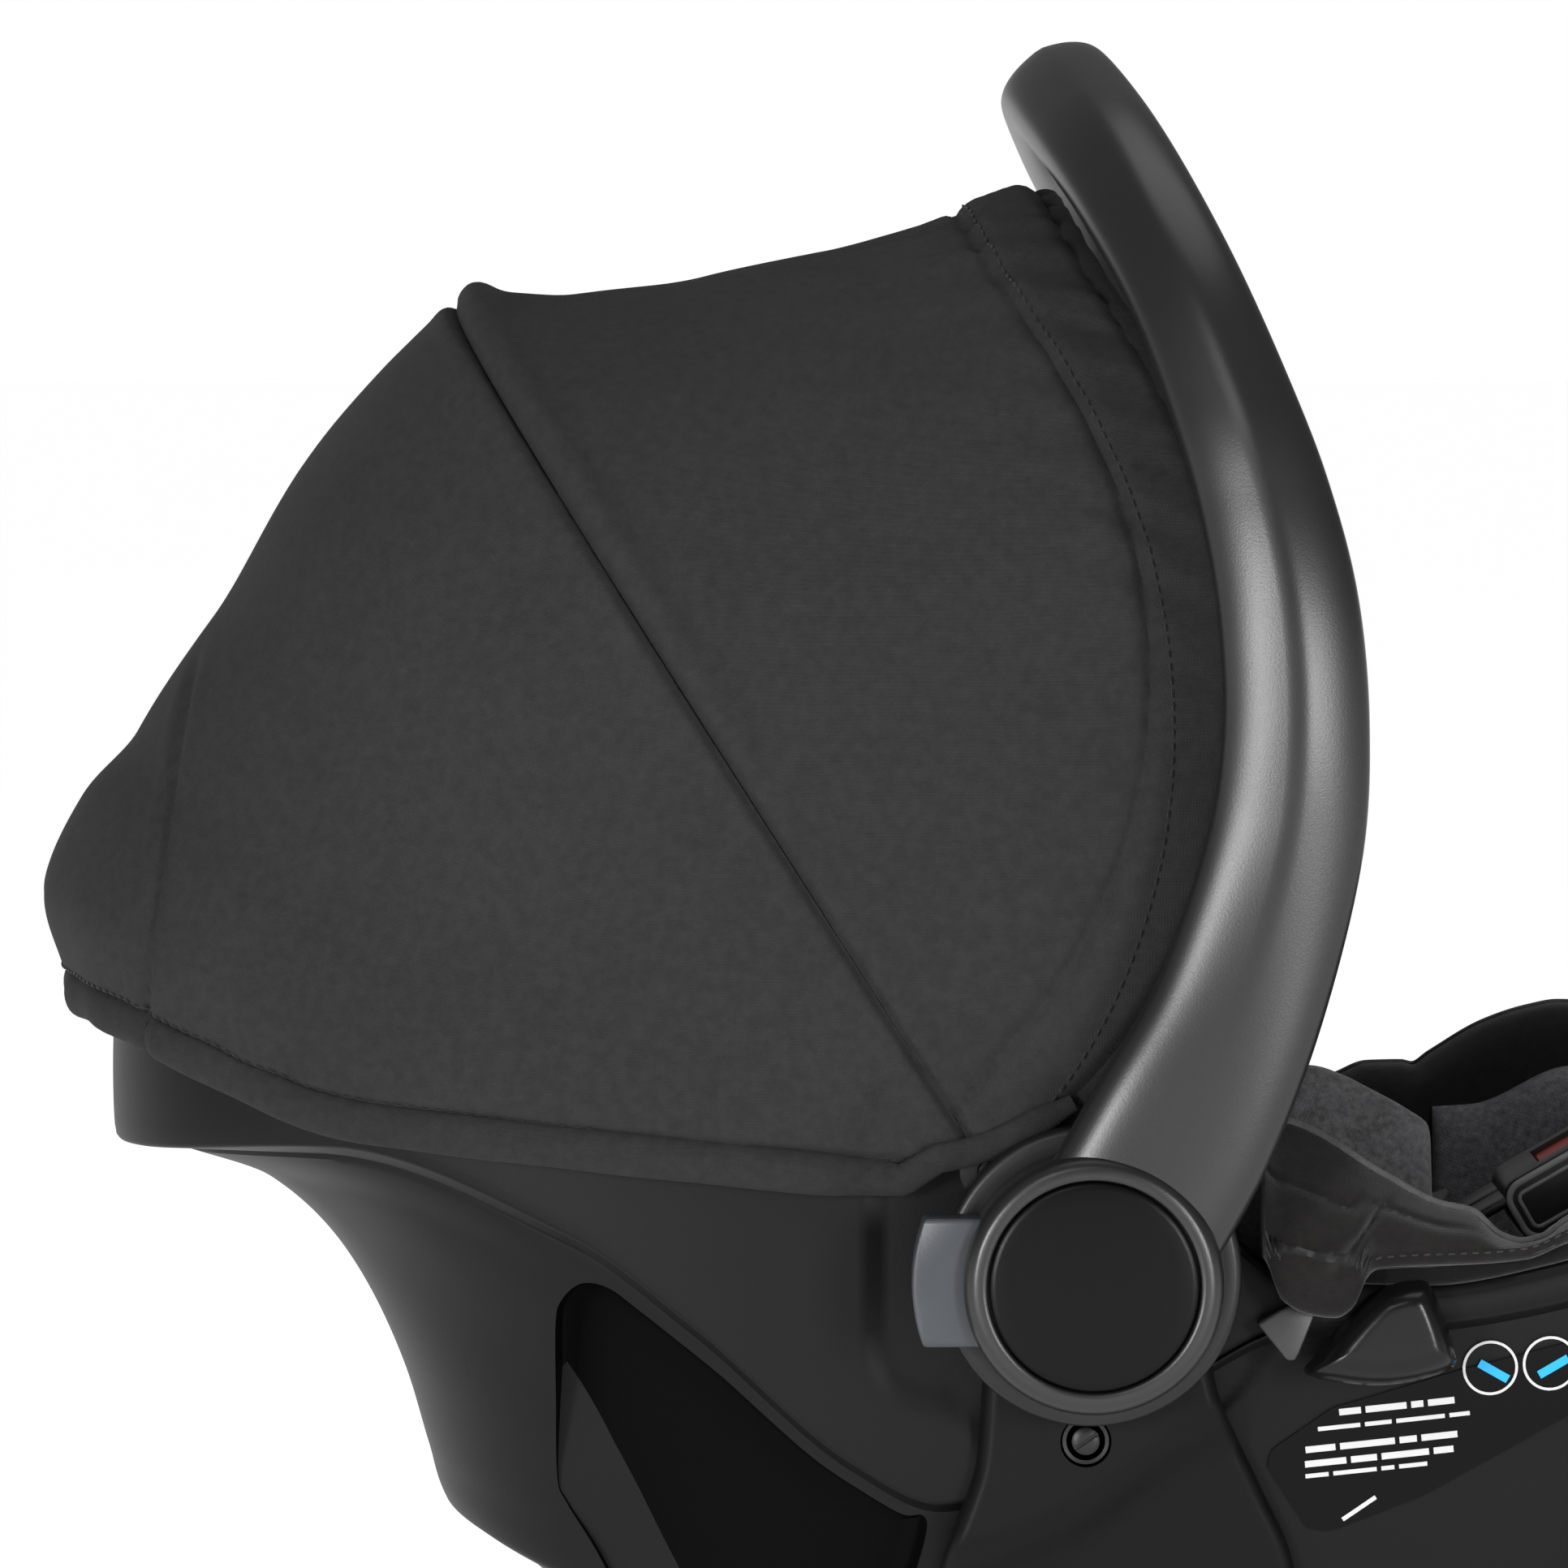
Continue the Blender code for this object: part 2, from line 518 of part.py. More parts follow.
def handle_loops():
    apex = HANDLE_PATH[-1]
    mirrored = [(u, w, -y, width, t) for u, w, y, width, t in HANDLE_PATH]
    full = catmull(mirrored + HANDLE_PATH[-2::-1], HANDLE_STEPS)
    loops, half = [], len(full) // 2
    for k, (u, w, y, width, thick) in enumerate(full):
        near = min(k, len(full) - 1 - k)
        a, b = full[max(0, near - 1)], full[min(half, near + 1)]
        rise = Vector((b[0] - a[0], b[1] - a[1])).normalized()
        normal = Vector((rise.y, 0, -rise.x))
        before, after = full[max(0, k - 1)], full[min(len(full) - 1, k + 1)]
        along = Vector((after[0] - before[0], after[2] - before[2], after[1] - before[1])).normalized()
        cross = along.cross(normal).normalized()
        centre = Vector((HUB_X + u, y, HUB_Z + w))
        loops.append([tuple(centre + normal * power(math.cos(q), 0.75) * width / 2
                            + cross * power(math.sin(q), 0.75) * thick / 2)
                      for q in (2 * math.pi * i / HANDLE_SIDES for i in range(HANDLE_SIDES))])
    return loops


def make_handle():
    bail = stack("handle_bail", handle_loops(), HANDLE, fan=True)
    hubs, cuts = [], []
    for side_name, side in SIDES.items():
        hubs.append(turned("hub", HUB_X, HUB_Z, side, [(HUB_R, HUB_IN), (HUB_R, 0.2185), (0.0360, 0.2214),
                                                      (0.0335, 0.2222)], HANDLE, 36))
        cuts.append(turned("bore", HUB_X, HUB_Z, side, [(0.00608, 0.190), (0.00608, 0.2095), (0.0130, 0.2095),
                                                       (0.0130, 0.2190), (0.0307, 0.2190), (0.0307, 0.230)],
                           HANDLE, 36))
        cuts.append(block("slot", (HUB_X - 0.0338, side * 0.20725, HUB_Z + 0.001), (0.0226, 0.0155, 0.0425),
                          HANDLE, 0, 0.02))
    combine(bail, hubs, "UNION")
    combine(bail, cuts, "DIFFERENCE")
    for side_name, side in SIDES.items():
        turned(f"hub_badge_{side_name}", HUB_X, HUB_Z, side,
               [(0.0303, 0.2193), (0.0303, 0.2213), (0.0292, 0.2223), (0.0270, HUB_FACE), (0.010, HUB_FACE)],
               TRIM, 36)
        arc = [math.radians(lerp(158.5, 200.5, i / 8)) for i in range(9)]
        shape = [(HUB_X + 0.053 * math.cos(a), HUB_Z + 0.053 * math.sin(a)) for a in arc]
        shape += [(HUB_X - 0.0300, HUB_Z - 0.0184), (HUB_X - 0.0300, HUB_Z + 0.0192)]
        plate(f"handle_button_{side_name}", shape, side, 0.2000, 0.2143, BUTTON)


# ---- canopy ----
CANOPY_TOP = [(86, 0.292), (91, 0.2835), (100, 0.2755), (108, 0.2765), (116, 0.287), (122.7, 0.3035),
              (127, 0.301), (136, 0.294), (147, 0.2857), (157, 0.286), (163, 0.293), (169, 0.297), (174.7, 0.286)]
MID_ANGLE, FRONT_ANGLE, HEM_ANGLE = 122.7, 86.0, 174.7
RIB_START = 0.020


def arch(half, reach, exponent, count, start=RIB_START):
    """Evenly spaced (across, out) points of a rib, from beside the near pivot over the top to the far one."""
    dense = []
    for i in range(1, 1000):
        q = math.pi * (0.5 - 0.5 * math.cos(math.pi * i / 1000))
        out = reach * power(math.sin(q), 2 / exponent)
        if out >= start:
            dense.append((-half * power(math.cos(q), 2 / exponent), out))
    return resample(dense, count, False)


def front_angle(out, reach):
    """The front edge bulges forward beside the child: its angle falls towards the pivot."""
    return FRONT_ANGLE - 46 * max(0.0, 1 - out / reach) ** 1.35


def rib(apex_angle, half, exponent, count, inset=0.0, start=RIB_START):
    """Points of the canopy's surface on one rib; inset moves them inward."""
    reach = curve(CANOPY_TOP, apex_angle)
    share = min(1.0, (MID_ANGLE - apex_angle) / (MID_ANGLE - FRONT_ANGLE))
    line = arch(half - inset, reach - inset, exponent, count, start)
    points = []
    for y, out in line:
        angle = apex_angle
        if share > 0:
            angle = lerp(MID_ANGLE, front_angle(out, reach - inset), share)
        a = math.radians(angle)
        points.append((PIVOT_X + out * math.cos(a), y, PIVOT_Z + out * math.sin(a)))
    return points


def make_canopy_panels():
    ribs_across = 23
    rear = [lerp(MID_ANGLE + 0.9, HEM_ANGLE, k / 8) for k in range(9)]
    front = [lerp(FRONT_ANGLE, MID_ANGLE - 0.9, k / 6) for k in range(7)]
    for name, angles in (("canopy_rear_panel", rear), ("canopy_front_panel", front)):
        top = [rib(a, CANOPY_HALF, 3.0, ribs_across) for a in angles]
        low = [rib(a, CANOPY_HALF, 3.0, ribs_across, CANOPY_T) for a in angles]
        slab(name, top, low, CLOTH)


def make_bow(name, apex_angle, y_leg, width, inset, exponent=3.0):
    """A flat springy bow under the fabric, with an eye at each end that turns on the bracket's pin."""
    thick = 0.0022
    half = y_leg + thick / 2
    outer = rib(apex_angle, half, exponent, 25, 0.0, 0.006)
    reach = curve(CANOPY_TOP, apex_angle)
    shrink = (reach - inset) / reach
    loops = []
    for x, y, z in outer:
        out = Vector((x - PIVOT_X, 0, z - PIVOT_Z))
        side_on = Vector((-out.z, 0, out.x)).normalized() * width / 2
        rise = abs(out.length / reach) ** 6
        centre = Vector((PIVOT_X, 0, PIVOT_Z)) + out * lerp(1.0, shrink, rise)
        flat = 1 - rise
        down = Vector((0, -math.copysign(thick, y), 0)) * flat - out.normalized() * thick * rise
        if down.length < thick:
            down = down.normalized() * thick
        top = Vector((centre.x, y, centre.z))
        loops.append([tuple(top + side_on), tuple(top - side_on), tuple(top - side_on + down),
                      tuple(top + side_on + down)])
    bow = stack(name, loops, TRIM)
    eye_skin = 0.00012
    eyes = [turned("eye", PIVOT_X, PIVOT_Z, side, [(0.0085, y_leg - thick / 2 - eye_skin), (0.0085, half + eye_skin)],
                   TRIM, 24) for side in SIDES.values()]
    holes = [turned("hole", PIVOT_X, PIVOT_Z, side, [(0.0034, 0.15), (0.0034, 0.20)], TRIM, 20)
             for side in SIDES.values()]
    combine(bow, eyes, "UNION")
    combine(bow, holes, "DIFFERENCE")


def hang(name, place, *children):
    """Parents moving pieces to an empty on their joint's axis, leaving them where they are."""
    axis = bpy.data.objects.new(name, None)
    axis.location = place
    bpy.context.scene.collection.objects.link(axis)
    for child in children:
        piece = bpy.data.objects[child]
        piece.parent = axis
        piece.matrix_parent_inverse = Matrix.Translation(-Vector(place))


def main():
    for old in list(bpy.data.objects):
        bpy.data.objects.remove(old)
    shell = make_shell()
    make_base_release(shell)
    dish("foam_liner", 0.0005, LINER_T, FOAM)
    dish("seat_pad", LINER_T + 0.0005, PAD_TOP, BLACK)
    cushion("body_insert", -0.215, 0.098, -0.083, 0.083, INSERT_T, GREY, PAD_TOP + 0.003, 13, 9)
    make_rim_cover()
    for side_name, side in SIDES.items():
        make_side_pillar(side_name)
        make_belt_parts(side_name)
        make_pivot_housing(side_name)
        make_side_bolster(f"side_bolster_{side_name}", side)
        cushion(f"head_bolster_{side_name}", -0.215, -0.105, side * 0.092, side * 0.132, 0.030, BLACK)
    make_harness()
    make_handle()
    make_canopy_panels()
    make_bow("middle_bow", MID_ANGLE, 0.1800, 0.010, 0.0070)
    make_bow("front_bow", FRONT_ANGLE + 4.0, 0.1830, 0.008, 0.0110)
    hang("handle_axis", (HUB_X, 0, HUB_Z), "handle_bail", "hub_badge_left", "hub_badge_right",
         "handle_button_left", "handle_button_right")
    hang("canopy_axis", (PIVOT_X, 0, PIVOT_Z), "middle_bow", "canopy_front_panel", "front_bow")
    hang("buckle_axis", (BUCKLE_X, 0, BUCKLE_Z), "buckle_button")
    hang("adjuster_axis", (0.198, 0, 0.2090), "adjuster_button")
    hang("chest_clip_axis", (-0.030, 0, 0.20), "chest_clip_left", "chest_clip_right")
    hang("base_release_axis", (-0.2301, 0, 0.188), "base_release_lever", "base_hook_left", "base_hook_right")


main()
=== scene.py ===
"""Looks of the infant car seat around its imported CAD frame.

Metres; +X towards the foot end, +Y the child's left, +Z up. "right" pieces are on the -Y side.
"""
import json
import math

import bmesh
import bpy
import numpy as np
from mathutils import Matrix, Vector, noise


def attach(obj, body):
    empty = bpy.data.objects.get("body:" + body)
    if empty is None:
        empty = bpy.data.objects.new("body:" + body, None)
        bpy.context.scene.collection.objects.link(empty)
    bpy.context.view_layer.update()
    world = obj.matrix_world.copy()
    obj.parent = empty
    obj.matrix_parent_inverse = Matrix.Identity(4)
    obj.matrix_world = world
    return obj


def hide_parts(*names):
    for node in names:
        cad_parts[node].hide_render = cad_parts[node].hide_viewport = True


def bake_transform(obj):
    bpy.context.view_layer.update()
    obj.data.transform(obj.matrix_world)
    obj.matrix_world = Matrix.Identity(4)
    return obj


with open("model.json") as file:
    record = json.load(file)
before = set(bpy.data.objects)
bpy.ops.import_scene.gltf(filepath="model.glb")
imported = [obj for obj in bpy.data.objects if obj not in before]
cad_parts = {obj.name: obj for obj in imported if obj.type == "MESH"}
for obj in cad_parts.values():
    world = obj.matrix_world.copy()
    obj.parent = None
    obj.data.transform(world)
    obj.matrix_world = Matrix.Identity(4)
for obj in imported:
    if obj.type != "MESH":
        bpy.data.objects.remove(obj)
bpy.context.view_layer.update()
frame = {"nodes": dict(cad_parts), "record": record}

NODES = frame["nodes"]

# ---- dimensions shared with the CAD, metres ----
HUB_X, HUB_Z = -0.011, 0.225
PIVOT_X, PIVOT_Z = HUB_X - 0.030, HUB_Z + 0.030
RIM_HALF = 0.176
RIM_BACK, RIM_FRONT, RIM_MID = -0.311, 0.32526, 0.03
RIM_TOP = 0.010
WALL = 0.004
CANOPY_HALF = 0.1878
PAD_LIFT = 0.025
N_BACK, N_FRONT = 3.4, 3.0
RIM_IN = (RIM_BACK + RIM_TOP, RIM_FRONT - RIM_TOP, RIM_HALF - RIM_TOP)
SIDES = {"right": -1, "left": 1}

RIM_Z = [(-0.311, 0.293), (-0.20, 0.287), (-0.06, 0.272), (0.0, 0.262), (0.028, 0.238), (0.05, 0.222),
         (0.09, 0.220), (0.126, 0.226), (0.20, 0.252), (0.28, 0.281), (0.334, 0.292)]
CREASE_Z = [(-0.311, 0.2515), (-0.2375, 0.258), (-0.165, 0.233), (-0.129, 0.207), (-0.081, 0.166),
            (-0.055, 0.154), (-0.02, 0.165), (0.02, 0.192), (0.05, 0.206), (0.09, 0.208), (0.126, 0.2135),
            (0.20, 0.239), (0.28, 0.268), (0.334, 0.279)]
BOWL_Z = [(-0.30, 0.283), (-0.265, 0.258), (-0.22, 0.224), (-0.17, 0.188), (-0.10, 0.148), (0.0, 0.117),
          (0.06, 0.108), (0.12, 0.115), (0.20, 0.158), (0.27, 0.226), (0.324, 0.281)]
BACK_X = [(0.0, -0.150), (0.06, -0.153), (0.110, -0.170), (0.1175, -0.1775), (0.1257, -0.191),
          (0.130, -0.2085), (0.145, -0.2135), (0.170, -0.2211), (0.206, -0.2391), (0.234, -0.2648),
          (0.247, -0.2905)]
FRONT_X = [(0.0, 0.180), (0.06, 0.195), (0.12, 0.218), (0.17, 0.243), (0.22, 0.277), (0.255, 0.309),
           (0.28, 0.321)]
SIDE_Y = [(0.0, 0.146), (0.08, 0.150), (0.15, 0.160), (0.20, 0.167), (0.28, 0.170)]


def curve(points, x):
    """Smooth monotone interpolation through given points; x may be an array."""
    px = np.array([p[0] for p in points])
    py = np.array([p[1] for p in points])
    step = np.diff(px)
    slope = np.diff(py) / step
    tangent = np.zeros(len(px))
    tangent[0], tangent[-1] = slope[0], slope[-1]
    for k in range(1, len(px) - 1):
        a, b = slope[k - 1], slope[k]
        tangent[k] = 0.0 if a * b <= 0 else 2 * a * b / (a + b)
    v = np.clip(np.asarray(x, float), px[0], px[-1])
    i = np.clip(np.searchsorted(px, v, side="right") - 1, 0, len(step) - 1)
    h = step[i]
    t = (v - px[i]) / h
    out = (py[i] * (1 + 2 * t) * (1 - t) ** 2 + tangent[i] * h * t * (1 - t) ** 2
           + py[i + 1] * t * t * (3 - 2 * t) + tangent[i + 1] * h * t * t * (t - 1))
    return float(out) if np.ndim(out) == 0 else out


def power(value, exponent):
    return np.sign(value) * np.abs(value) ** exponent


def lerp(a, b, t):
    return a + (b - a) * t


def smooth(edge0, edge1, x):
    t = np.clip((np.asarray(x, float) - edge0) / (edge1 - edge0), 0.0, 1.0)
    return t * t * (3 - 2 * t)


def soft_min(a, b, k):
    """Minimum of two distances with a rounded corner of radius about k."""
    h = np.clip(0.5 + 0.5 * (b - a) / k, 0, 1)
    return b + (a - b) * h - k * h * (1 - h)


def resample(points, count, closed=False):
    """Evenly spaced points along a dense polyline."""
    points = np.asarray(points, float)
    if closed:
        points = np.vstack([points, points[:1]])
    far = np.concatenate([[0.0], np.cumsum(np.linalg.norm(np.diff(points, axis=0), axis=1))])
    goal = np.linspace(0, far[-1], count + 1)[:-1] if closed else np.linspace(0, far[-1], count)
    return np.stack([np.interp(goal, far, points[:, k]) for k in range(points.shape[1])], 1)


def outline(back, front, half, count):
    """Plan outline of the carrier: a rounded rectangle of evenly spaced (x, y) points."""
    a = np.linspace(0, 2 * math.pi, 7200, endpoint=False)
    c, s = np.cos(a), np.sin(a)
    n = np.where(c > 0, N_FRONT, N_BACK)
    reach = np.where(c > 0, front - RIM_MID, RIM_MID - back)
    return resample(np.stack([RIM_MID + reach * power(c, 2 / n), half * power(s, 2 / n)], 1), count, True)


# ---- mesh building ----
def finish_mesh(name, verts, faces, look, sharp=38.0):
    mesh = bpy.data.meshes.new(name)
    mesh.from_pydata([tuple(map(float, v)) for v in verts], [], faces)
    bm = bmesh.new()
    bm.from_mesh(mesh)
    bmesh.ops.recalc_face_normals(bm, faces=bm.faces)
    bm.to_mesh(mesh)
    bm.free()
    mesh.materials.append(look)
    mesh.shade_smooth()
    if sharp:
        mesh.set_sharp_from_angle(angle=math.radians(sharp))
    made = bpy.data.objects.new(name, mesh)
    bpy.context.scene.collection.objects.link(made)
    return made


def tube(name, loops, look, capped=True, sharp=38.0, joined=False):
    """A skin over a stack of closed point loops; joined closes the stack into a ring."""
    loops = [np.asarray(loop, float) for loop in loops]
    count = len(loops[0])
    verts = [v for loop in loops for v in loop]
    faces = []
    rounds = len(loops) if joined else len(loops) - 1
    for k in range(rounds):
        a, b = k * count, ((k + 1) % len(loops)) * count
        faces += [(a + i, a + (i + 1) % count, b + (i + 1) % count, b + i) for i in range(count)]
    if capped and not joined:
        for first in (0, (len(loops) - 1) * count):
            verts.append(np.mean(verts[first:first + count], axis=0))
            faces += [(first + i, first + (i + 1) % count, len(verts) - 1) for i in range(count)]
    return finish_mesh(name, verts, faces, look, sharp)


def grid_faces(rows, cols, start=0):
    return [(start + r * cols + c, start + r * cols + c + 1, start + (r + 1) * cols + c + 1,
             start + (r + 1) * cols + c) for r in range(rows - 1) for c in range(cols - 1)]


def grid_normals(grid):
    """Unit normals of a grid of points, array (rows, cols, 3)."""
    du = np.gradient(grid, axis=1)
    dv = np.gradient(grid, axis=0)
    n = np.cross(du, dv)
    return n / np.maximum(np.linalg.norm(n, axis=2, keepdims=True), 1e-12)


def skin(name, outer, inner, look, sharp=38.0):
    """A closed sheet between two grids of points."""
    rows, cols = outer.shape[:2]
    under = rows * cols
    faces = grid_faces(rows, cols)
    faces += [tuple(reversed(f)) for f in grid_faces(rows, cols, under)]
    edge = ([c for c in range(cols - 1)] + [r * cols + cols - 1 for r in range(rows - 1)]
            + [(rows - 1) * cols + c for c in range(cols - 1, 0, -1)]
            + [r * cols for r in range(rows - 1, 0, -1)])
    faces += [(a, b, under + b, under + a) for a, b in zip(edge, edge[1:] + edge[:1])]
    points = np.concatenate([outer.reshape(-1, 3), inner.reshape(-1, 3)])
    return finish_mesh(name, points, faces, look, sharp)


def turned(name, x, z, side, profile, look, count=96, sharp=38.0):
    """A piece turned about an axis along Y through (x, z), from (radius, distance from the middle) pairs."""
    a = np.linspace(0, 2 * math.pi, count, endpoint=False)
    loops = [np.stack([x + r * np.cos(a), np.full(count, side * y), z + r * np.sin(a)], 1)
             for r, y in profile]
    return tube(name, loops, look, True, sharp)


def prism(name, shape, side, y0, y1, look, bevel=0.0008):
    """A plate across Y with rounded edges, from (x, z) points."""
    shape = np.asarray(shape, float)
    loops = [np.stack([shape[:, 0], np.full(len(shape), side * y), shape[:, 1]], 1) for y in (y0, y1)]
    made = tube(name, loops, look, True)
    round_edges(made, bevel)
    return made


def round_edges(made, width, angle=30.0, segments=3):
    bevel = made.modifiers.new("Bevel", "BEVEL")
    bevel.width = width
    bevel.segments = segments
    bevel.limit_method = "ANGLE"
    bevel.angle_limit = math.radians(angle)
    bevel.harden_normals = False
    apply_modifiers(made)
    made.data.shade_smooth()
    made.data.set_sharp_from_angle(angle=math.radians(50))


def apply_modifiers(made):
    depsgraph = bpy.context.evaluated_depsgraph_get()
    mesh = bpy.data.meshes.new_from_object(made.evaluated_get(depsgraph))
    made.modifiers.clear()
    made.data = mesh


def cut(made, *tools):
    """Takes the tools' shapes away from a piece."""
    for tool in tools:
        change = made.modifiers.new("Boolean", "BOOLEAN")
        change.operation = "DIFFERENCE"
        change.solver = "EXACT"
        change.object = tool
        apply_modifiers(made)
        bpy.data.objects.remove(tool)
    made.data.shade_smooth()
    made.data.set_sharp_from_angle(angle=math.radians(38))


def capsules(name, marks, radius, look, sides=6):
    """Many short thread stitches as one mesh; each mark is (start, end)."""
    verts, faces = [], []
    for start, end in marks:
        a, b = Vector(start), Vector(end)
        along = (b - a).normalized()
        across = along.orthogonal().normalized()
        up = along.cross(across)
        base = len(verts)
        for t, r in ((0.0, 0.35), (0.2, 1.0), (0.8, 1.0), (1.0, 0.35)):
            centre = a.lerp(b, t)
            for k in range(sides):
                q = 2 * math.pi * k / sides
                verts.append(centre + (across * math.cos(q) + up * math.sin(q)) * radius * r)
        for ring in range(3):
            for k in range(sides):
                p, q = base + ring * sides + k, base + ring * sides + (k + 1) % sides
                faces.append((p, q, q + sides, p + sides))
        faces.append(tuple(base + k for k in reversed(range(sides))))
        faces.append(tuple(base + 3 * sides + k for k in range(sides)))
    return finish_mesh(name, verts, faces, look, 0)


def stitch_marks(points, pitch, length):
    """Start and end points of stitches spaced along a path."""
    points = np.asarray(points, float)
    far = np.concatenate([[0.0], np.cumsum(np.linalg.norm(np.diff(points, axis=0), axis=1))])
    marks = []
    at = pitch
    while at + length < far[-1]:
        ends = [np.array([np.interp(d, far, points[:, k]) for k in range(3)]) for d in (at, at + length)]
        marks.append(ends)
        at += pitch
    return marks


# ---- materials ----
def add(tree, kind, inputs=(), **settings):
    """A node with its settings and inputs; an input may be another node's socket."""
    node = tree.nodes.new("ShaderNode" + kind)
    for key, value in settings.items():
        setattr(node, key, value)
    for key, value in dict(inputs).items():
        if isinstance(value, bpy.types.NodeSocket):
            tree.links.new(value, node.inputs[key])
        else:
            node.inputs[key].default_value = value
    return node


def blank(name, rough, metallic=0.0, specular=0.5):
    made = bpy.data.materials.new(name)
    made.use_nodes = True
    shader = made.node_tree.nodes["Principled BSDF"]
    shader.inputs["Roughness"].default_value = rough
    shader.inputs["Metallic"].default_value = metallic
    shader.inputs["Specular IOR Level"].default_value = specular
    return made, made.node_tree, shader


def shade(color, factor):
    return tuple(min(1.0, c * factor) for c in color) + (1,)


def math_node(tree, operation, a, b=0.0, clamp=False):
    return add(tree, "Math", {0: a, 1: b}, operation=operation, use_clamp=clamp).outputs[0]


def place(tree):
    return add(tree, "TexCoord").outputs["Object"]


def plastic(name, color, rough, grain=900.0, depth=0.05, drift=0.10, specular=0.5):
    """Moulded plastic: fine spark-eroded grain, slow changes of tone and gloss."""
    made, tree, shader = blank(name, rough, 0.0, specular)
    where = place(tree)
    slow = add(tree, "TexNoise", {"Vector": where, "Scale": 9.0, "Detail": 3.0})
    fine = add(tree, "TexNoise", {"Vector": where, "Scale": grain, "Detail": 2.0, "Roughness": 0.6})
    mix = add(tree, "Mix", {0: slow.outputs[0], 6: shade(color, 1 - drift), 7: shade(color, 1 + drift)},
              data_type="RGBA")
    tree.links.new(mix.outputs[2], shader.inputs["Base Color"])
    gloss = add(tree, "MapRange", {0: slow.outputs[0], 3: rough - 0.05, 4: rough + 0.05})
    tree.links.new(gloss.outputs[0], shader.inputs["Roughness"])
    bump = add(tree, "Bump", {"Strength": depth, "Distance": 0.0006, "Height": fine.outputs[0]})
    tree.links.new(bump.outputs[0], shader.inputs["Normal"])
    return made


def cloth(name, color, thread, depth, heather=0.25, rough=0.9, sheen=0.15, slow_scale=14.0, twill=False,
          fleck=260.0):
    """Woven or knitted fabric: threads crossing along the axes, heathered tone, soft sheen."""
    made, tree, shader = blank(name, rough, 0.0, 0.10)
    shader.inputs["Sheen Weight"].default_value = sheen
    shader.inputs["Sheen Roughness"].default_value = 0.5
    where = place(tree)
    split = add(tree, "SeparateXYZ", {0: where})
    x, y, z = split.outputs
    if twill:
        x, z = math_node(tree, "ADD", x, z), math_node(tree, "SUBTRACT", z, x)
    bands = []
    for axis in (x, y, z):
        turn = math_node(tree, "MULTIPLY", axis, 2 * math.pi / thread)
        bands.append(math_node(tree, "SINE", turn))
    weave = math_node(tree, "ADD", math_node(tree, "MULTIPLY", bands[0], bands[2]),
                      math_node(tree, "MULTIPLY", bands[1], math_node(tree, "ADD", bands[0], bands[2])))
    spots = add(tree, "TexNoise", {"Vector": where, "Scale": fleck, "Detail": 3.0, "Roughness": 0.7})
    slow = add(tree, "TexNoise", {"Vector": where, "Scale": slow_scale, "Detail": 4.0})
    tone = math_node(tree, "ADD", math_node(tree, "MULTIPLY", spots.outputs[0], 0.7),
                     math_node(tree, "MULTIPLY", slow.outputs[0], 0.3))
    ramp = add(tree, "MapRange", {0: tone, 1: 0.35, 2: 0.65})
    mix = add(tree, "Mix", {0: ramp.outputs[0], 6: shade(color, 1 - heather), 7: shade(color, 1 + heather)},
              data_type="RGBA")
    tree.links.new(mix.outputs[2], shader.inputs["Base Color"])
    height = math_node(tree, "ADD", math_node(tree, "MULTIPLY", weave, 0.5), spots.outputs[0])
    bump = add(tree, "Bump", {"Strength": depth, "Distance": 0.0005, "Height": height})
    tree.links.new(bump.outputs[0], shader.inputs["Normal"])
    return made


def webbing(name, color, rib, across):
    """Seat-belt webbing: ribs along its length, a herringbone across them."""
    made, tree, shader = blank(name, 0.62, 0.0, 0.4)
    shader.inputs["Sheen Weight"].default_value = 0.2
    where = place(tree)
    split = add(tree, "SeparateXYZ", {0: where})
    x, y, z = split.outputs
    ribs = math_node(tree, "SINE", math_node(tree, "MULTIPLY", y if across == "y" else x, 2 * math.pi / rib))
    zig = math_node(tree, "PINGPONG", math_node(tree, "MULTIPLY", y, 1.0), rib * 2)
    run = math_node(tree, "ADD", math_node(tree, "SUBTRACT", x, z), zig)
    weft = math_node(tree, "SINE", math_node(tree, "MULTIPLY", run, 2 * math.pi / (rib * 1.3)))
    height = math_node(tree, "ADD", math_node(tree, "MULTIPLY", ribs, 0.6),
                       math_node(tree, "MULTIPLY", weft, 0.5))
    ramp = add(tree, "MapRange", {0: height, 1: -1.0, 2: 1.0})
    mix = add(tree, "Mix", {0: ramp.outputs[0], 6: shade(color, 0.7), 7: shade(color, 1.35)},
              data_type="RGBA")
    tree.links.new(mix.outputs[2], shader.inputs["Base Color"])
    bump = add(tree, "Bump", {"Strength": 0.5, "Distance": 0.0004, "Height": height})
    tree.links.new(bump.outputs[0], shader.inputs["Normal"])
    return made


def plated(name, color, rough):
    made, tree, shader = blank(name, rough, 1.0)
    where = place(tree)
    slow = add(tree, "TexNoise", {"Vector": where, "Scale": 220.0, "Detail": 4.0})
    mix = add(tree, "Mix", {0: slow.outputs[0], 6: shade(color, 0.9), 7: shade(color, 1.1)},
              data_type="RGBA")
    tree.links.new(mix.outputs[2], shader.inputs["Base Color"])
    gloss = add(tree, "MapRange", {0: slow.outputs[0], 3: rough - 0.08, 4: rough + 0.08})
    tree.links.new(gloss.outputs[0], shader.inputs["Roughness"])
    return made


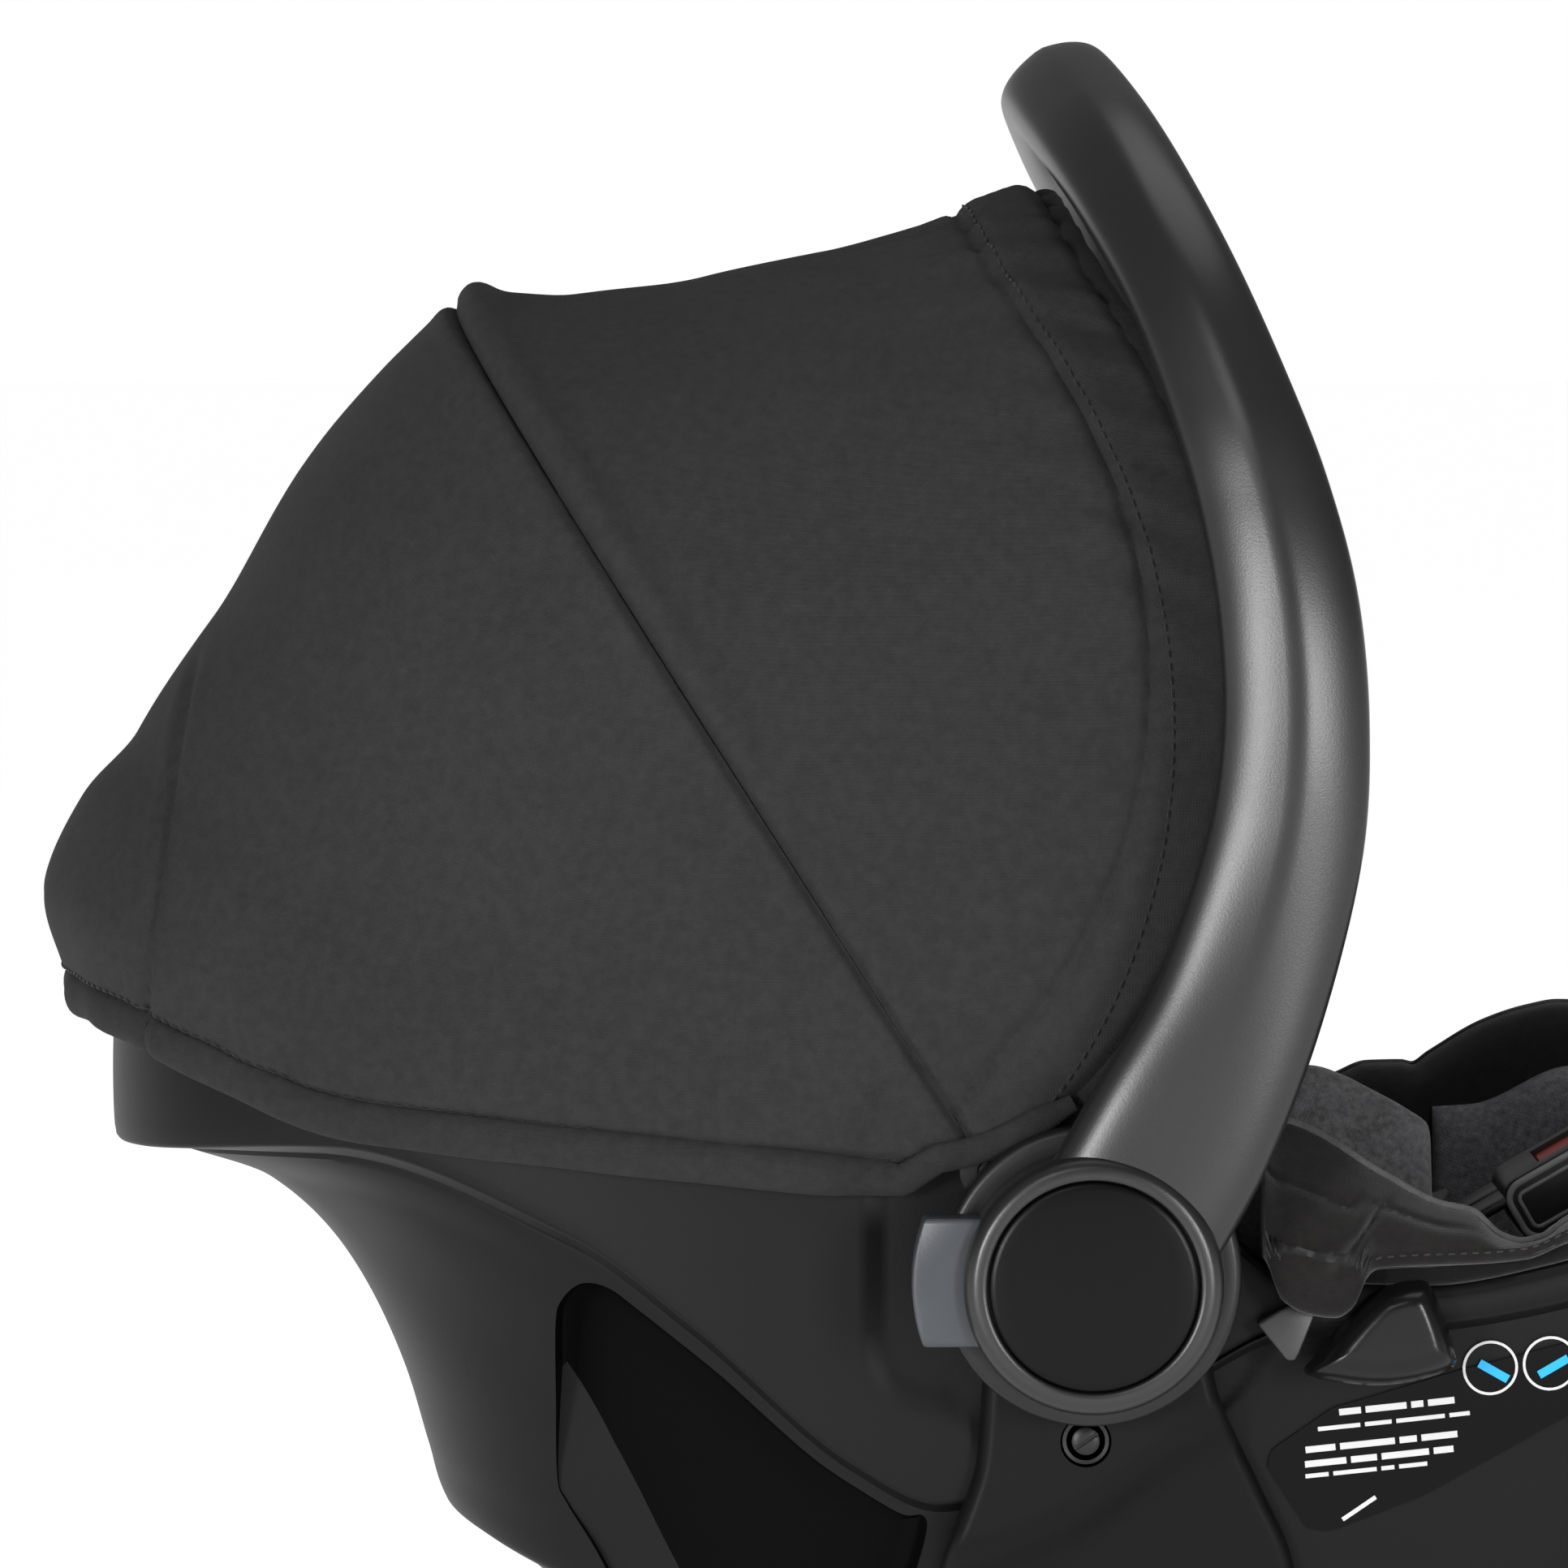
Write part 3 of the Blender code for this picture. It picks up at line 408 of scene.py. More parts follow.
LOOK = {
    "shell": plastic("shell_plastic_look", (0.0038, 0.0038, 0.0040), 0.48, 1100, 0.10, specular=0.145),
    # recess tub: near-black, far darker than the shell; painted shade for the deep shade inside the hand
    # recess
    "recess": plastic("recess_painted_shade_look", (0.0012, 0.0012, 0.0012), 0.60, 1100, 0.10, specular=0.04),
    "pillar": plastic("pillar_plastic_look", (0.0032, 0.0032, 0.0034), 0.48, 1100, 0.10, specular=0.12),
    "handle": plastic("handle_plastic_look", (0.0085, 0.0085, 0.0087), 0.34, 1500, 0.06),
    "trim": plastic("trim_plastic_look", (0.0075, 0.0075, 0.0078), 0.38, 1400, 0.06, specular=0.32),
    "guide": plastic("belt_guide_look", (0.0045, 0.0045, 0.0047), 0.27, 1400, 0.05, specular=0.25),
    "badge": plastic("badge_plastic_look", (0.0026, 0.0026, 0.0027), 0.33, 1500, 0.05, specular=0.12),
    "button": plastic("button_plastic_look", (0.028, 0.0325, 0.039), 0.42, 1300, 0.06),
    "tongue": plastic("tongue_coating_look", (0.010, 0.010, 0.010), 0.35, 1400, 0.05),
    "button_dark": plastic("clip_plastic_look", (0.026, 0.026, 0.027), 0.38, 1400, 0.06),
    "red": plastic("release_red_look", (0.45, 0.018, 0.015), 0.38, 1300, 0.06),
    "panel": plastic("belt_panel_look", (0.0012, 0.0012, 0.0012), 0.35, 2000, 0.01, specular=0.12),
    "mark": plastic("panel_mark_look", (0.50, 0.50, 0.50), 0.45, 2000, 0.01),
    "mark_blue": plastic("panel_blue_look", (0.0, 0.33, 0.70), 0.45, 2000, 0.01),
    "foam": plastic("foam_look", (0.16, 0.16, 0.16), 0.85, 300, 0.3),
    "canopy": cloth("canopy_fabric_look", (0.0222, 0.0222, 0.0225), 0.0009, 0.30, 0.16, sheen=0.02),
    "hem": cloth("canopy_hem_look", (0.0200, 0.0200, 0.0203), 0.0009, 0.30, 0.16, sheen=0.02),
    "binding": cloth("canopy_binding_look", (0.0150, 0.0150, 0.0152), 0.0011, 0.35, 0.18, sheen=0.02),
    "stitch": cloth("stitch_thread_look", (0.010, 0.010, 0.010), 0.0006, 0.3, 0.3),
    "black": cloth("black_fabric_look", (0.0078, 0.0070, 0.0068), 0.0008, 0.35, 0.25, twill=True,
                   sheen=0.25),
    "bolster": cloth("bolster_fabric_look", (0.0042, 0.0042, 0.0042), 0.0008, 0.3, 0.2, sheen=0.15),
    "grey": cloth("grey_fabric_look", (0.066, 0.066, 0.069), 0.0010, 0.35, 0.42, fleck=420.0),
    # lining: the wings' grey fabric painted about twice as light; painted light against the shade inside the
    # seat
    "lining": cloth("lining_painted_light_look", (0.125, 0.125, 0.134), 0.0010, 0.35, 0.42, fleck=420.0),
    "piping": cloth("piping_look", (0.058, 0.058, 0.060), 0.0007, 0.3, 0.2),
    "thread_light": cloth("thread_light_look", (0.030, 0.030, 0.030), 0.0006, 0.3, 0.3),
    # latch borders: pale grey for the bright edge lines, lifted as painted light to show through the shade
    # on the housing's sides
    "border": plastic("border_painted_highlight_look", (0.300, 0.300, 0.303), 0.32, 1500, 0.04),
    "webbing": webbing("webbing_look", (0.014, 0.014, 0.0145), 0.0022, "y"),
    "steel": plated("steel_look", (0.52, 0.52, 0.54), 0.30),
}

SLOT_LOOK = {"shell_plastic": "shell", "handle_plastic": "handle", "trim_plastic": "trim",
             "button_plastic": "button", "release_red": "red", "canopy_fabric": "canopy",
             "black_fabric": "black", "grey_fabric": "grey", "webbing": "webbing", "foam": "foam",
             "panel_black": "panel", "steel": "steel"}
for node_name, node in NODES.items():
    slot_name = next(p["material_slot"] for p in frame["record"]["subparts"] if p["node"] == node_name)
    for material_slot in node.material_slots:
        material_slot.material = LOOK[SLOT_LOOK[slot_name]]
for side_name in SIDES:
    NODES[f"side_pillar_{side_name}"].material_slots[0].material = LOOK["pillar"]
    NODES[f"hub_badge_{side_name}"].material_slots[0].material = LOOK["badge"]


def show(made, body, slot, *nodes):
    """Lets a piece ride on its body and stand for CAD nodes."""
    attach(made, body)
    if nodes:
        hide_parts(*nodes)
    return made


# ---- carrier shell ----
AROUND = 520


def rocker_z(x):
    """Lower edge of the skirt: flat in the middle, curving up towards both ends."""
    return np.maximum(0.0, np.abs(x) - 0.08) ** 2 / 0.9


def lower_wall(f, inset=0.0):
    return (curve(BACK_X, lerp(0.2485, 0.0, f)) + inset, curve(FRONT_X, lerp(0.276, 0.0, f)) - inset,
            curve(SIDE_Y, lerp(0.20, 0.0, f)) - inset)


def wall_loop(f, inset=0.0, lift=0.0):
    p = outline(*lower_wall(f, inset), AROUND)
    z = lerp(curve(CREASE_Z, p[:, 0]) - 0.003, rocker_z(p[:, 0]), f) + lift
    return np.column_stack([p, z])


def bowl_share(x, y):
    n = np.where(x > RIM_MID, N_FRONT, N_BACK)
    reach = np.where(x > RIM_MID, RIM_IN[1] - RIM_MID, RIM_MID - RIM_IN[0])
    return (np.abs((x - RIM_MID) / reach) ** n + np.abs(y / RIM_IN[2]) ** n) ** (1 / n)


def bowl_z(x, y):
    """Height of the shell's seating surface."""
    x, y = np.asarray(x, float), np.asarray(y, float)
    return lerp(curve(BOWL_Z, x), curve(RIM_Z, x), np.minimum(1.0, bowl_share(x, y)) ** 5)


def bowl_loop(s, lift=0.0):
    p = outline(*RIM_IN, AROUND)
    x, y = lerp(RIM_MID, p[:, 0], s), p[:, 1] * s
    return np.column_stack([x, y, bowl_z(x, y) + lift])


def rim_loop(inset, rise):
    p = outline(RIM_BACK + inset, RIM_FRONT - inset, RIM_HALF - inset, AROUND)
    return np.column_stack([p, curve(RIM_Z, p[:, 0]) + rise])


def band_loop(t, inset=0.0):
    """Between the rim at t = 0 and the crease at t = 1."""
    p = outline(RIM_BACK + inset, RIM_FRONT - inset, RIM_HALF - inset, AROUND)
    return np.column_stack([p, lerp(curve(RIM_Z, p[:, 0]) - 0.003, curve(CREASE_Z, p[:, 0]) + 0.0020, t)])


RECESS = [  # outline of the hand recess in the side wall; the upper edge follows the crease
    (-0.116, 0.0535), (-0.098, 0.0530), (-0.080, 0.0530), (-0.0735, 0.0590), (-0.0700, 0.085),
    (-0.0655, 0.118), (-0.0590, 0.1440), (-0.0600, 0.1500)]
RECESS_END = [(-0.1620, 0.2185), (-0.1680, 0.2130), (-0.1700, 0.2050), (-0.1702, 0.1800), (-0.1700, 0.1560),
              (-0.1670, 0.1480), (-0.1560, 0.1300), (-0.1370, 0.0900), (-0.1240, 0.0600)]


def recess_outline():
    top = [(x, curve(CREASE_Z, x) - lerp(0.0068, 0.0090, (x + 0.065) / -0.090)) for x in
           (-0.066, -0.078, -0.092, -0.106, -0.120, -0.134, -0.145, -0.154)]
    points = np.array(RECESS + top + RECESS_END)
    loop = np.vstack([points[-1:], points, points[:2]])
    smooth_loop = catmull(loop, 12)[12:-12]
    return resample(smooth_loop, 260, True)


def grown(shape, by):
    """Moves a closed outline outwards along its normals."""
    step = np.roll(shape, -1, axis=0) - np.roll(shape, 1, axis=0)
    out = np.stack([step[:, 1], -step[:, 0]], 1) / np.linalg.norm(step, axis=1)[:, None]
    middle = shape.mean(axis=0)
    if np.sum(out * (shape - middle)) < 0:
        out = -out
    return shape + out * by


def make_recess(side_name):
    """Tub behind the opening in the side wall, following the wall at a constant depth; its near-black colour
    is painted shade for the deep shade inside the recess.
    """
    side = SIDES[side_name]
    shape = recess_outline()
    loops = []

    def put(ring, depth):
        y = shell_y(ring[:, 0], ring[:, 1]) - depth
        loops.append(np.stack([ring[:, 0], side * y, ring[:, 1]], 1))

    middle = np.array([-0.112, 0.150])
    for t in (0.04, 0.25, 0.5, 0.75, 0.92):
        put(middle + (grown(shape, -0.004) - middle) * t, 0.0150)
    put(grown(shape, -0.0032), 0.0148)
    put(grown(shape, -0.0018), 0.0135)
    put(grown(shape, -0.0012), 0.0100)
    put(grown(shape, -0.0002), 0.0012)
    put(grown(shape, 0.0014), 0.0012)
    put(grown(shape, 0.0010), 0.0160)
    for t in (0.92, 0.5, 0.04):
        put(middle + (shape - middle) * t, 0.0168)
    tub = tube(f"recess_{side_name}", loops, LOOK["recess"], True, 50)
    return show(tub, "carrier", "shell_plastic")


def pocket_depth(x, z):
    """Share of depth of the shallow pocket round the handle hub."""
    r = np.hypot(x - HUB_X, z - HUB_Z)
    round_part = 0.0605 - r
    behind = soft_min(soft_min(x + 0.0765, -0.015 - x, 0.006), z - 0.185, 0.018)
    return smooth(0.0, 0.0028, np.maximum(round_part, behind))


def shell_relief(points, band):
    """Moves side-wall points inward round the hub, and outward under the crease towards the back."""
    x, y, z = points.T
    side_on = smooth(0.100, 0.135, np.abs(y))
    move = 0.0022 * pocket_depth(x, z)
    if not band:
        ease = smooth(-0.10, -0.19, x)
        drop = curve(CREASE_Z, x) - z
        move = 0.55 * move - 0.0050 * ease * smooth(0.055, 0.0, drop) * smooth(0.0, 0.002, drop)
    out = points.copy()
    out[:, 1] = y - np.sign(y) * move * side_on
    return out


def make_shell():
    loops = []
    put = loops.append
    for s in (0.22, 0.45, 0.68, 0.84, 0.93, 0.97, 0.995):
        put(bowl_loop(s))
    for inset, rise in ((0.0095, 0.0), (0.0060, 0.0004), (0.0022, 0.0), (0.0006, -0.0010), (0.0, -0.0026)):
        put(rim_loop(inset, rise))
    for t in np.linspace(0.02, 1.0, 22):
        put(shell_relief(band_loop(t, -0.0008 * math.sin(math.pi * t) ** 0.5), True))
    for inset, dz in ((0.0001, 0.0012), (0.0007, 0.0004), (0.0018, 0.0000)):
        p = outline(RIM_BACK + inset, RIM_FRONT - inset, RIM_HALF - inset, AROUND)
        put(np.column_stack([p, curve(CREASE_Z, p[:, 0]) + dz]))
    for f in np.concatenate([np.linspace(0.0, 0.62, 96), np.linspace(0.63, 0.985, 30)]):
        put(shell_relief(wall_loop(f), False))
    put(wall_loop(0.996, 0.0003))
    put(wall_loop(1.0, 0.0010))
    put(wall_loop(1.0, WALL))
    for f, inset in ((0.985, 0.0050), (0.759, 0.0100), (0.557, 0.0170), (0.30, 0.0180)):
        put(wall_loop(f, inset))
    for s in (0.84, 0.68, 0.45, 0.22):
        put(bowl_loop(s, -WALL))
    shell = tube("shell_body", loops, LOOK["shell"], True, 60)
    face = (-0.2301, 0.188)
    pitch = math.atan2(0.018, 0.036)
    pocket = box_piece("pocket", (face[0] - math.sin(pitch) * 0.003, 0, face[1] + math.cos(pitch) * 0.003),
                       (0.025, 0.082, 0.042), LOOK["shell"], pitch, 0.002)
    shape = recess_outline()
    openings = [prism("opening", shape, side, 0.128, 0.190, LOOK["shell"], 0) for side in SIDES.values()]
    cut(shell, pocket, *openings)
    for side_name in SIDES:
        make_recess(side_name)
    return show(shell, "carrier", "shell_plastic", "carrier_shell")


def box_piece(name, centre, size, look, pitch=0.0, bevel=0.001, segments=3):
    """A block with rounded edges, tilted by pitch about Y."""
    bm = bmesh.new()
    bmesh.ops.create_cube(bm, size=1.0)
    bmesh.ops.scale(bm, vec=Vector(size), verts=bm.verts)
    mesh = bpy.data.meshes.new(name)
    bm.to_mesh(mesh)
    bm.free()
    mesh.materials.append(look)
    made = bpy.data.objects.new(name, mesh)
    bpy.context.scene.collection.objects.link(made)
    if bevel:
        round_edges(made, bevel, 30, segments)
    made.data.transform(Matrix.Translation(Vector(centre)) @ Matrix.Rotation(-pitch, 4, "Y"))
    return made


# ---- release lever, side pillars, belt guides, hubs ----
def make_release_lever():
    """Release lever in the back wall; its face follows the wall, with two finger ridges."""
    v, u = np.meshgrid(np.linspace(-1, 1, 40), np.linspace(-1, 1, 60), indexing="ij")
    y, z = 0.0375 * u, 0.1880 + 0.0150 * v
    top, low = curve(CREASE_Z, -0.235) - 0.003, rocker_z(-0.235)
    f = np.clip((top - z) / (top - low), 0, 1)
    back, _, half = lower_wall(f)
    face = RIM_MID - (RIM_MID - back) * (1 - np.abs(y / half) ** N_BACK) ** (1 / N_BACK)
    ridge = 0.0008 * (bell(v - 0.35, 0.16) + bell(v + 0.35, 0.16)) * smooth(1.0, 0.8, np.abs(u))
    edge = 0.0012 * smooth(0.93, 1.0, np.maximum(np.abs(u), np.abs(v)))
    outer = np.stack([face + 0.0012 - ridge + edge, y, z], 2)
    inner = np.stack([face + 0.0080, y, z], 2)
    lever = skin("release_lever", outer, inner, LOOK["button_dark"], 50)
    show(lever, "base_release", "button_plastic", "base_release_lever")


def shell_y(x, z):
    """Distance of the shell's side wall from the middle plane, below the crease."""
    top, low = curve(CREASE_Z, x) - 0.003, rocker_z(x)
    f = np.clip((top - z) / (top - low), 0.0, 1.0)
    back, front, half = lower_wall(f)
    n = np.where(x > RIM_MID, N_FRONT, N_BACK)
    reach = np.where(x > RIM_MID, front - RIM_MID, RIM_MID - back)
    return half * np.maximum(0.0, 1 - np.abs((x - RIM_MID) / reach) ** n) ** (1 / n)


def pillar_y(x, z):
    t = smooth(-0.030, -0.008, z - curve(CREASE_Z, x))
    return lerp(shell_y(x, z) + 0.0015, RIM_HALF + 0.0015, t)


def make_side_pillar(side_name):
    """Raised panel under the hub with soft borders and a counterbored rivet hole."""
    side = SIDES[side_name]
    z = np.linspace(0.035, 0.1985, 84)[:, None]
    left = HUB_X - curve([(0.035, 0.062), (0.138, 0.043), (0.17, 0.033), (0.20, 0.031)], z)
    right = HUB_X + curve([(0.035, 0.082), (0.138, 0.061), (0.158, 0.052), (0.19, 0.038), (0.20, 0.036)], z)
    s = 0.5 - 0.5 * np.cos(np.linspace(0, math.pi, 72))[None, :]
    x = lerp(left, right, s)
    zz = np.broadcast_to(z, x.shape)
    border = soft_min(np.minimum(x - left, right - x), zz - 0.0345, 0.004)
    crown = 0.0064 * np.sqrt(np.clip(1 - (1 - np.clip(border / 0.0045, 0, 1)) ** 2, 0, 1))
    base = pillar_y(x, zz)
    grid = np.stack([x, side * (base - 0.0030 + 0.0030 * np.clip(crown / 0.001, 0, 1) + crown), zz], 2)
    under = np.stack([x, side * (base - 0.0040), zz], 2)
    pillar = skin(f"pillar_{side_name}", grid, under, LOOK["pillar"], 60)
    rx, rz = HUB_X - 0.001, HUB_Z - 0.0505
    hole = turned("hole", rx, rz, side, [(0.0076, 0.1795), (0.0076, 0.1990)], LOOK["pillar"], 48)
    cut(pillar, hole)
    show(pillar, "carrier", "shell_plastic", f"side_pillar_{side_name}")
    rivet = turned(f"rivet_{side_name}", rx, rz, side,
                   [(0.0073, 0.1785), (0.0073, 0.1812), (0.0069, 0.1820), (0.0058, 0.1818), (0.0056, 0.1800),
                    (0.0043, 0.1800), (0.0041, 0.1826), (0.0030, 0.1832), (0.0016, 0.1833)],
                   LOOK["trim"], 48)
    cross = box_piece("cross", (rx, side * 0.184, rz), (0.0090, 0.0040, 0.0013), LOOK["trim"], 0.6, 0)
    cut(rivet, cross)
    show(rivet, "carrier", "trim_plastic", f"push_rivet_{side_name}")
    lip = turned(f"rivet_lip_{side_name}", rx, rz, side,
                 [(0.0077, 0.1818), (0.0077, 0.18285), (0.0083, 0.1832), (0.0088, 0.18285),
                  (0.0088, 0.1818)], LOOK["pillar"], 64)
    show(lip, "carrier", "shell_plastic")


def make_belt_parts(side_name):
    """Domed belt guide, its clip, and the printed panel that marks the belt's path."""
    side = SIDES[side_name]
    y0 = RIM_HALF
    shape = np.array([(0.0532, 0.1940), (0.0640, 0.1913), (0.0760, 0.1906), (0.0880, 0.1925),
                      (0.0972, 0.1962), (0.0975, 0.2010), (0.0940, 0.2120), (0.0900, 0.2205),
                      (0.0860, 0.2218), (0.0800, 0.2208), (0.0735, 0.2180), (0.0660, 0.2110),
                      (0.0560, 0.1990)])
    shape = resample(catmull(np.vstack([shape[-1:], shape, shape[:2]]), 8)[8:-8], 110, True)
    middle = np.array([0.0800, 0.2050])
    rows = []
    for t in np.linspace(0, 1, 24):
        a = t * math.pi / 2
        shrink = 0.42 + 0.58 * math.cos(a) ** 0.75
        lift = 0.0175 * math.sin(a) ** 0.85
        ring = middle + (shape - middle) * shrink
        sag = 0.0050 * (1 - shrink) * np.array([0.3, 1.0])
        ring = ring + sag
        rows.append(np.stack([ring[:, 0], np.full(len(ring), side * (y0 - 0.001 + lift)), ring[:, 1]], 1))
    guide = tube(f"guide_{side_name}", rows, LOOK["guide"], True, 60)
    show(guide, "carrier", "trim_plastic", f"belt_guide_{side_name}")
    clip_shape = [(0.0385, 0.2095), (0.0475, 0.1984), (0.0500, 0.1984), (0.0512, 0.2004), (0.0560, 0.2125),
                  (0.0480, 0.2150)]
    clip = prism(f"clip_{side_name}", clip_shape, side, y0, y0 + 0.0060, LOOK["button_dark"], 0.0010)
    show(clip, "carrier", "trim_plastic", f"cover_clip_{side_name}")
    make_belt_panel(side_name, side)


def panel_point(u, v):
    """A point of the belt panel: u from the hub end to the foot end, v from its lower to its upper edge."""
    low = np.array([(0.057, 0.142), (0.090, 0.155), (0.131, 0.178), (0.165, 0.194), (0.183, 0.203)])
    high = np.array([(0.041, 0.167), (0.062, 0.182), (0.100, 0.1935), (0.140, 0.2035), (0.183, 0.2195)])
    s = np.linspace(0, 1, 5)
    a = np.stack([np.interp(u, s, low[:, 0]), np.interp(u, s, low[:, 1])], -1)
    b = np.stack([np.interp(u, s, high[:, 0]), np.interp(u, s, high[:, 1])], -1)
    return a + (b - a) * np.asarray(v)[..., None]


def make_belt_panel(side_name, side):
    """Gloss label with generic rings and bars; nothing on it is lettering."""
    u = np.linspace(0, 1, 60)
    cols = np.broadcast_to(u[None, :], (22, 60))
    corner = 0.5 - 0.5 * smooth(0.0, 0.045, np.minimum(cols, 1 - cols)) ** 0.5
    t = np.linspace(-1, 1, 22)[:, None]
    v = 0.5 + t * (0.5 - 0.26 * corner)
    p = panel_point(cols, v)
    y = shell_y(p[..., 0], p[..., 1])
    outer = np.stack([p[..., 0], side * (y + 0.0008), p[..., 1]], 2)
    inner = np.stack([p[..., 0], side * (y - 0.0010), p[..., 1]], 2)
    label = skin(f"panel_{side_name}", outer, inner, LOOK["panel"], 40)
    show(label, "carrier", "panel_black", f"belt_panel_{side_name}")

    def mark(name, centre, size, turn, look):
        """A flat bar on the panel, or a ring where the size is a pair of radii and the turn is None."""
        if turn is None:
            rr, qq = np.meshgrid(np.array(size), np.linspace(0, 2 * math.pi, 48), indexing="ij")
            px, pz = centre[0] + rr * np.cos(qq), centre[1] + rr * np.sin(qq)
        else:
            u, v = np.meshgrid(np.linspace(-0.5, 0.5, 12) * size[0], np.linspace(-0.5, 0.5, 3) * size[1])
            px = centre[0] + u * math.cos(turn) - v * math.sin(turn)
            pz = centre[1] + u * math.sin(turn) + v * math.cos(turn)
        yy = shell_y(px, pz)
        a = np.stack([px, side * (yy + 0.0010), pz], 2)
        b = np.stack([px, side * (yy + 0.0003), pz], 2)
        show(skin(f"panel_{name}_{side_name}", a, b, LOOK[look], 40), "carrier", "panel_black")

    lines = [((0.0814, 0.1826), 0.036, 0.0020), ((0.0806, 0.1780), 0.047, 0.0013),
             ((0.0770, 0.1716), 0.047, 0.0020), ((0.0764, 0.1671), 0.046, 0.0020),
             ((0.0726, 0.1630), 0.038, 0.0013)]
    slope = math.radians(6.0)
    for row, (centre, length, high) in enumerate(lines):
        start = -length / 2
        for k, share in enumerate((0.30, 0.20, 0.34, 0.16) if row % 2 else (0.22, 0.38, 0.14, 0.26)):
            wide = length * share
            at = start + wide / 2
            mark(f"bar_{row}_{k}", (centre[0] + at * math.cos(slope), centre[1] + at * math.sin(slope)),
                 (wide - 0.0014, high), slope, "mark")
            start += wide
    mark("note", (0.0706, 0.1512), (0.012, 0.0013), math.radians(35), "mark")
    for k, centre in enumerate(((0.1092, 0.1941), (0.1272, 0.1953))):
        mark(f"ring_{k}", centre, (0.0075, 0.0083), None, "mark")
        mark(f"blue_{k}", (centre[0] + 0.001, centre[1] - 0.001), (0.010, 0.0026),
             math.radians(-30 + 60 * k), "mark_blue")


def make_hub(side_name):
    """Hub ring with a stepped face and a plain domed badge; the housing disc stands behind it."""
    side = SIDES[side_name]
    ring = turned(f"hub_ring_{side_name}", HUB_X, HUB_Z, side,
                  [(0.0150, 0.1972), (0.0372, 0.1972), (0.0380, 0.1980), (0.0380, 0.2172), (0.0376, 0.2188),
                   (0.0368, 0.2202), (0.0356, 0.2214), (0.0345, 0.2219), (0.0328, 0.2220), (0.0317, 0.2219),
                   (0.03125, 0.2213), (0.0311, 0.2202), (0.0310, 0.2160), (0.0150, 0.2160)],
                  LOOK["handle"], 160, 60)
    show(ring, "handle", "handle_plastic")
    badge = turned(f"badge_{side_name}", HUB_X, HUB_Z, side,
                   [(0.0290, 0.2150), (0.0307, 0.2170), (0.0307, 0.2205), (0.0305, 0.2211), (0.0300, 0.2215),
                    (0.0286, 0.2218), (0.0240, 0.22205), (0.0160, 0.22235), (0.0060, 0.2225)],
                   LOOK["badge"], 128, 60)
    show(badge, "handle", "trim_plastic", f"hub_badge_{side_name}")
    disc = turned(f"housing_{side_name}", HUB_X, HUB_Z, side,
                  [(0.0220, RIM_HALF - 0.002), (0.0220, 0.1855), (0.0437, 0.1855), (0.0445, 0.1862),
                   (0.0445, 0.1935), (0.0442, 0.1950), (0.0434, 0.1959), (0.0422, 0.1963),
                   (0.0400, 0.1963), (0.0120, 0.1963)],
                  LOOK["trim"], 160, 60)
    show(disc, "carrier", "trim_plastic", f"pivot_housing_{side_name}")
    arc = np.radians(np.linspace(158.5, 200.5, 36))
    shape = np.stack([HUB_X + 0.053 * np.cos(arc), HUB_Z + 0.053 * np.sin(arc)], 1)
    shape = np.vstack([shape, [(HUB_X - 0.0300, HUB_Z - 0.0184), (HUB_X - 0.0300, HUB_Z + 0.0192)]])
    button = prism(f"button_{side_name}", shape, side, 0.2000, 0.2143, LOOK["button"], 0.0016)
    show(button, f"handle_button_{side_name}", "button_plastic", f"handle_button_{side_name}")


# ---- handle ----
HANDLE_PATH = [  # forward of and above the hub, distance from the middle, width in side view, thickness
    (0.0080, 0.0140, 0.2090, 0.056, 0.0220), (0.0246, 0.0435, 0.2090, 0.056, 0.0220),
    (0.0419, 0.0800, 0.2090, 0.050, 0.0220), (0.0554, 0.1260, 0.2090, 0.046, 0.0225),
    (0.0589, 0.1620, 0.2085, 0.043, 0.0230), (0.0567, 0.1970, 0.2060, 0.0415, 0.0235),
    (0.0502, 0.2280, 0.2000, 0.039, 0.0240), (0.0412, 0.2560, 0.1900, 0.0366, 0.0250),
    (0.0284, 0.2895, 0.1680, 0.0345, 0.0260), (0.0144, 0.3188, 0.1300, 0.035, 0.0270),
    (0.0033, 0.3391, 0.0800, 0.036, 0.0280), (-0.0045, 0.3527, 0.0, 0.036, 0.0280)]


def catmull(points, steps):
    out = []
    points = np.asarray(points, float)
    for k in range(len(points) - 1):
        a, b = points[max(0, k - 1)], points[k]
        c, d = points[k + 1], points[min(len(points) - 1, k + 2)]
        for i in range(steps):
            t = i / steps
            out.append(0.5 * (2 * b + (c - a) * t + (2 * a - 5 * b + 4 * c - d) * t * t
                              + (3 * b - a - 3 * c + d) * t ** 3))
    return np.array(out + [points[-1]])


def unit(v):
    return v / np.linalg.norm(v)


def handle_section(share):
    """Closed section of the handle as (forward, outward) shares; share is 0 at a hub and 1 at the grip."""
    peak = lerp(0.02, 0.10, smooth(0.2, 0.9, share))
    edge = lerp(0.62, 0.80, smooth(0.45, 0.95, share))
    facet = smooth(0.10, 0.30, share)
    q = np.linspace(0, 2 * math.pi, 64, endpoint=False)
    a = power(np.cos(q), 0.80)
    b = power(np.sin(q), 0.72)
    outside = b < 0
    ridge = 1 - (1 - edge) * np.sqrt((a - peak) ** 2 + 0.0016) ** 0.9 * facet
    b = np.where(outside, b * ridge, b)
    return a, b


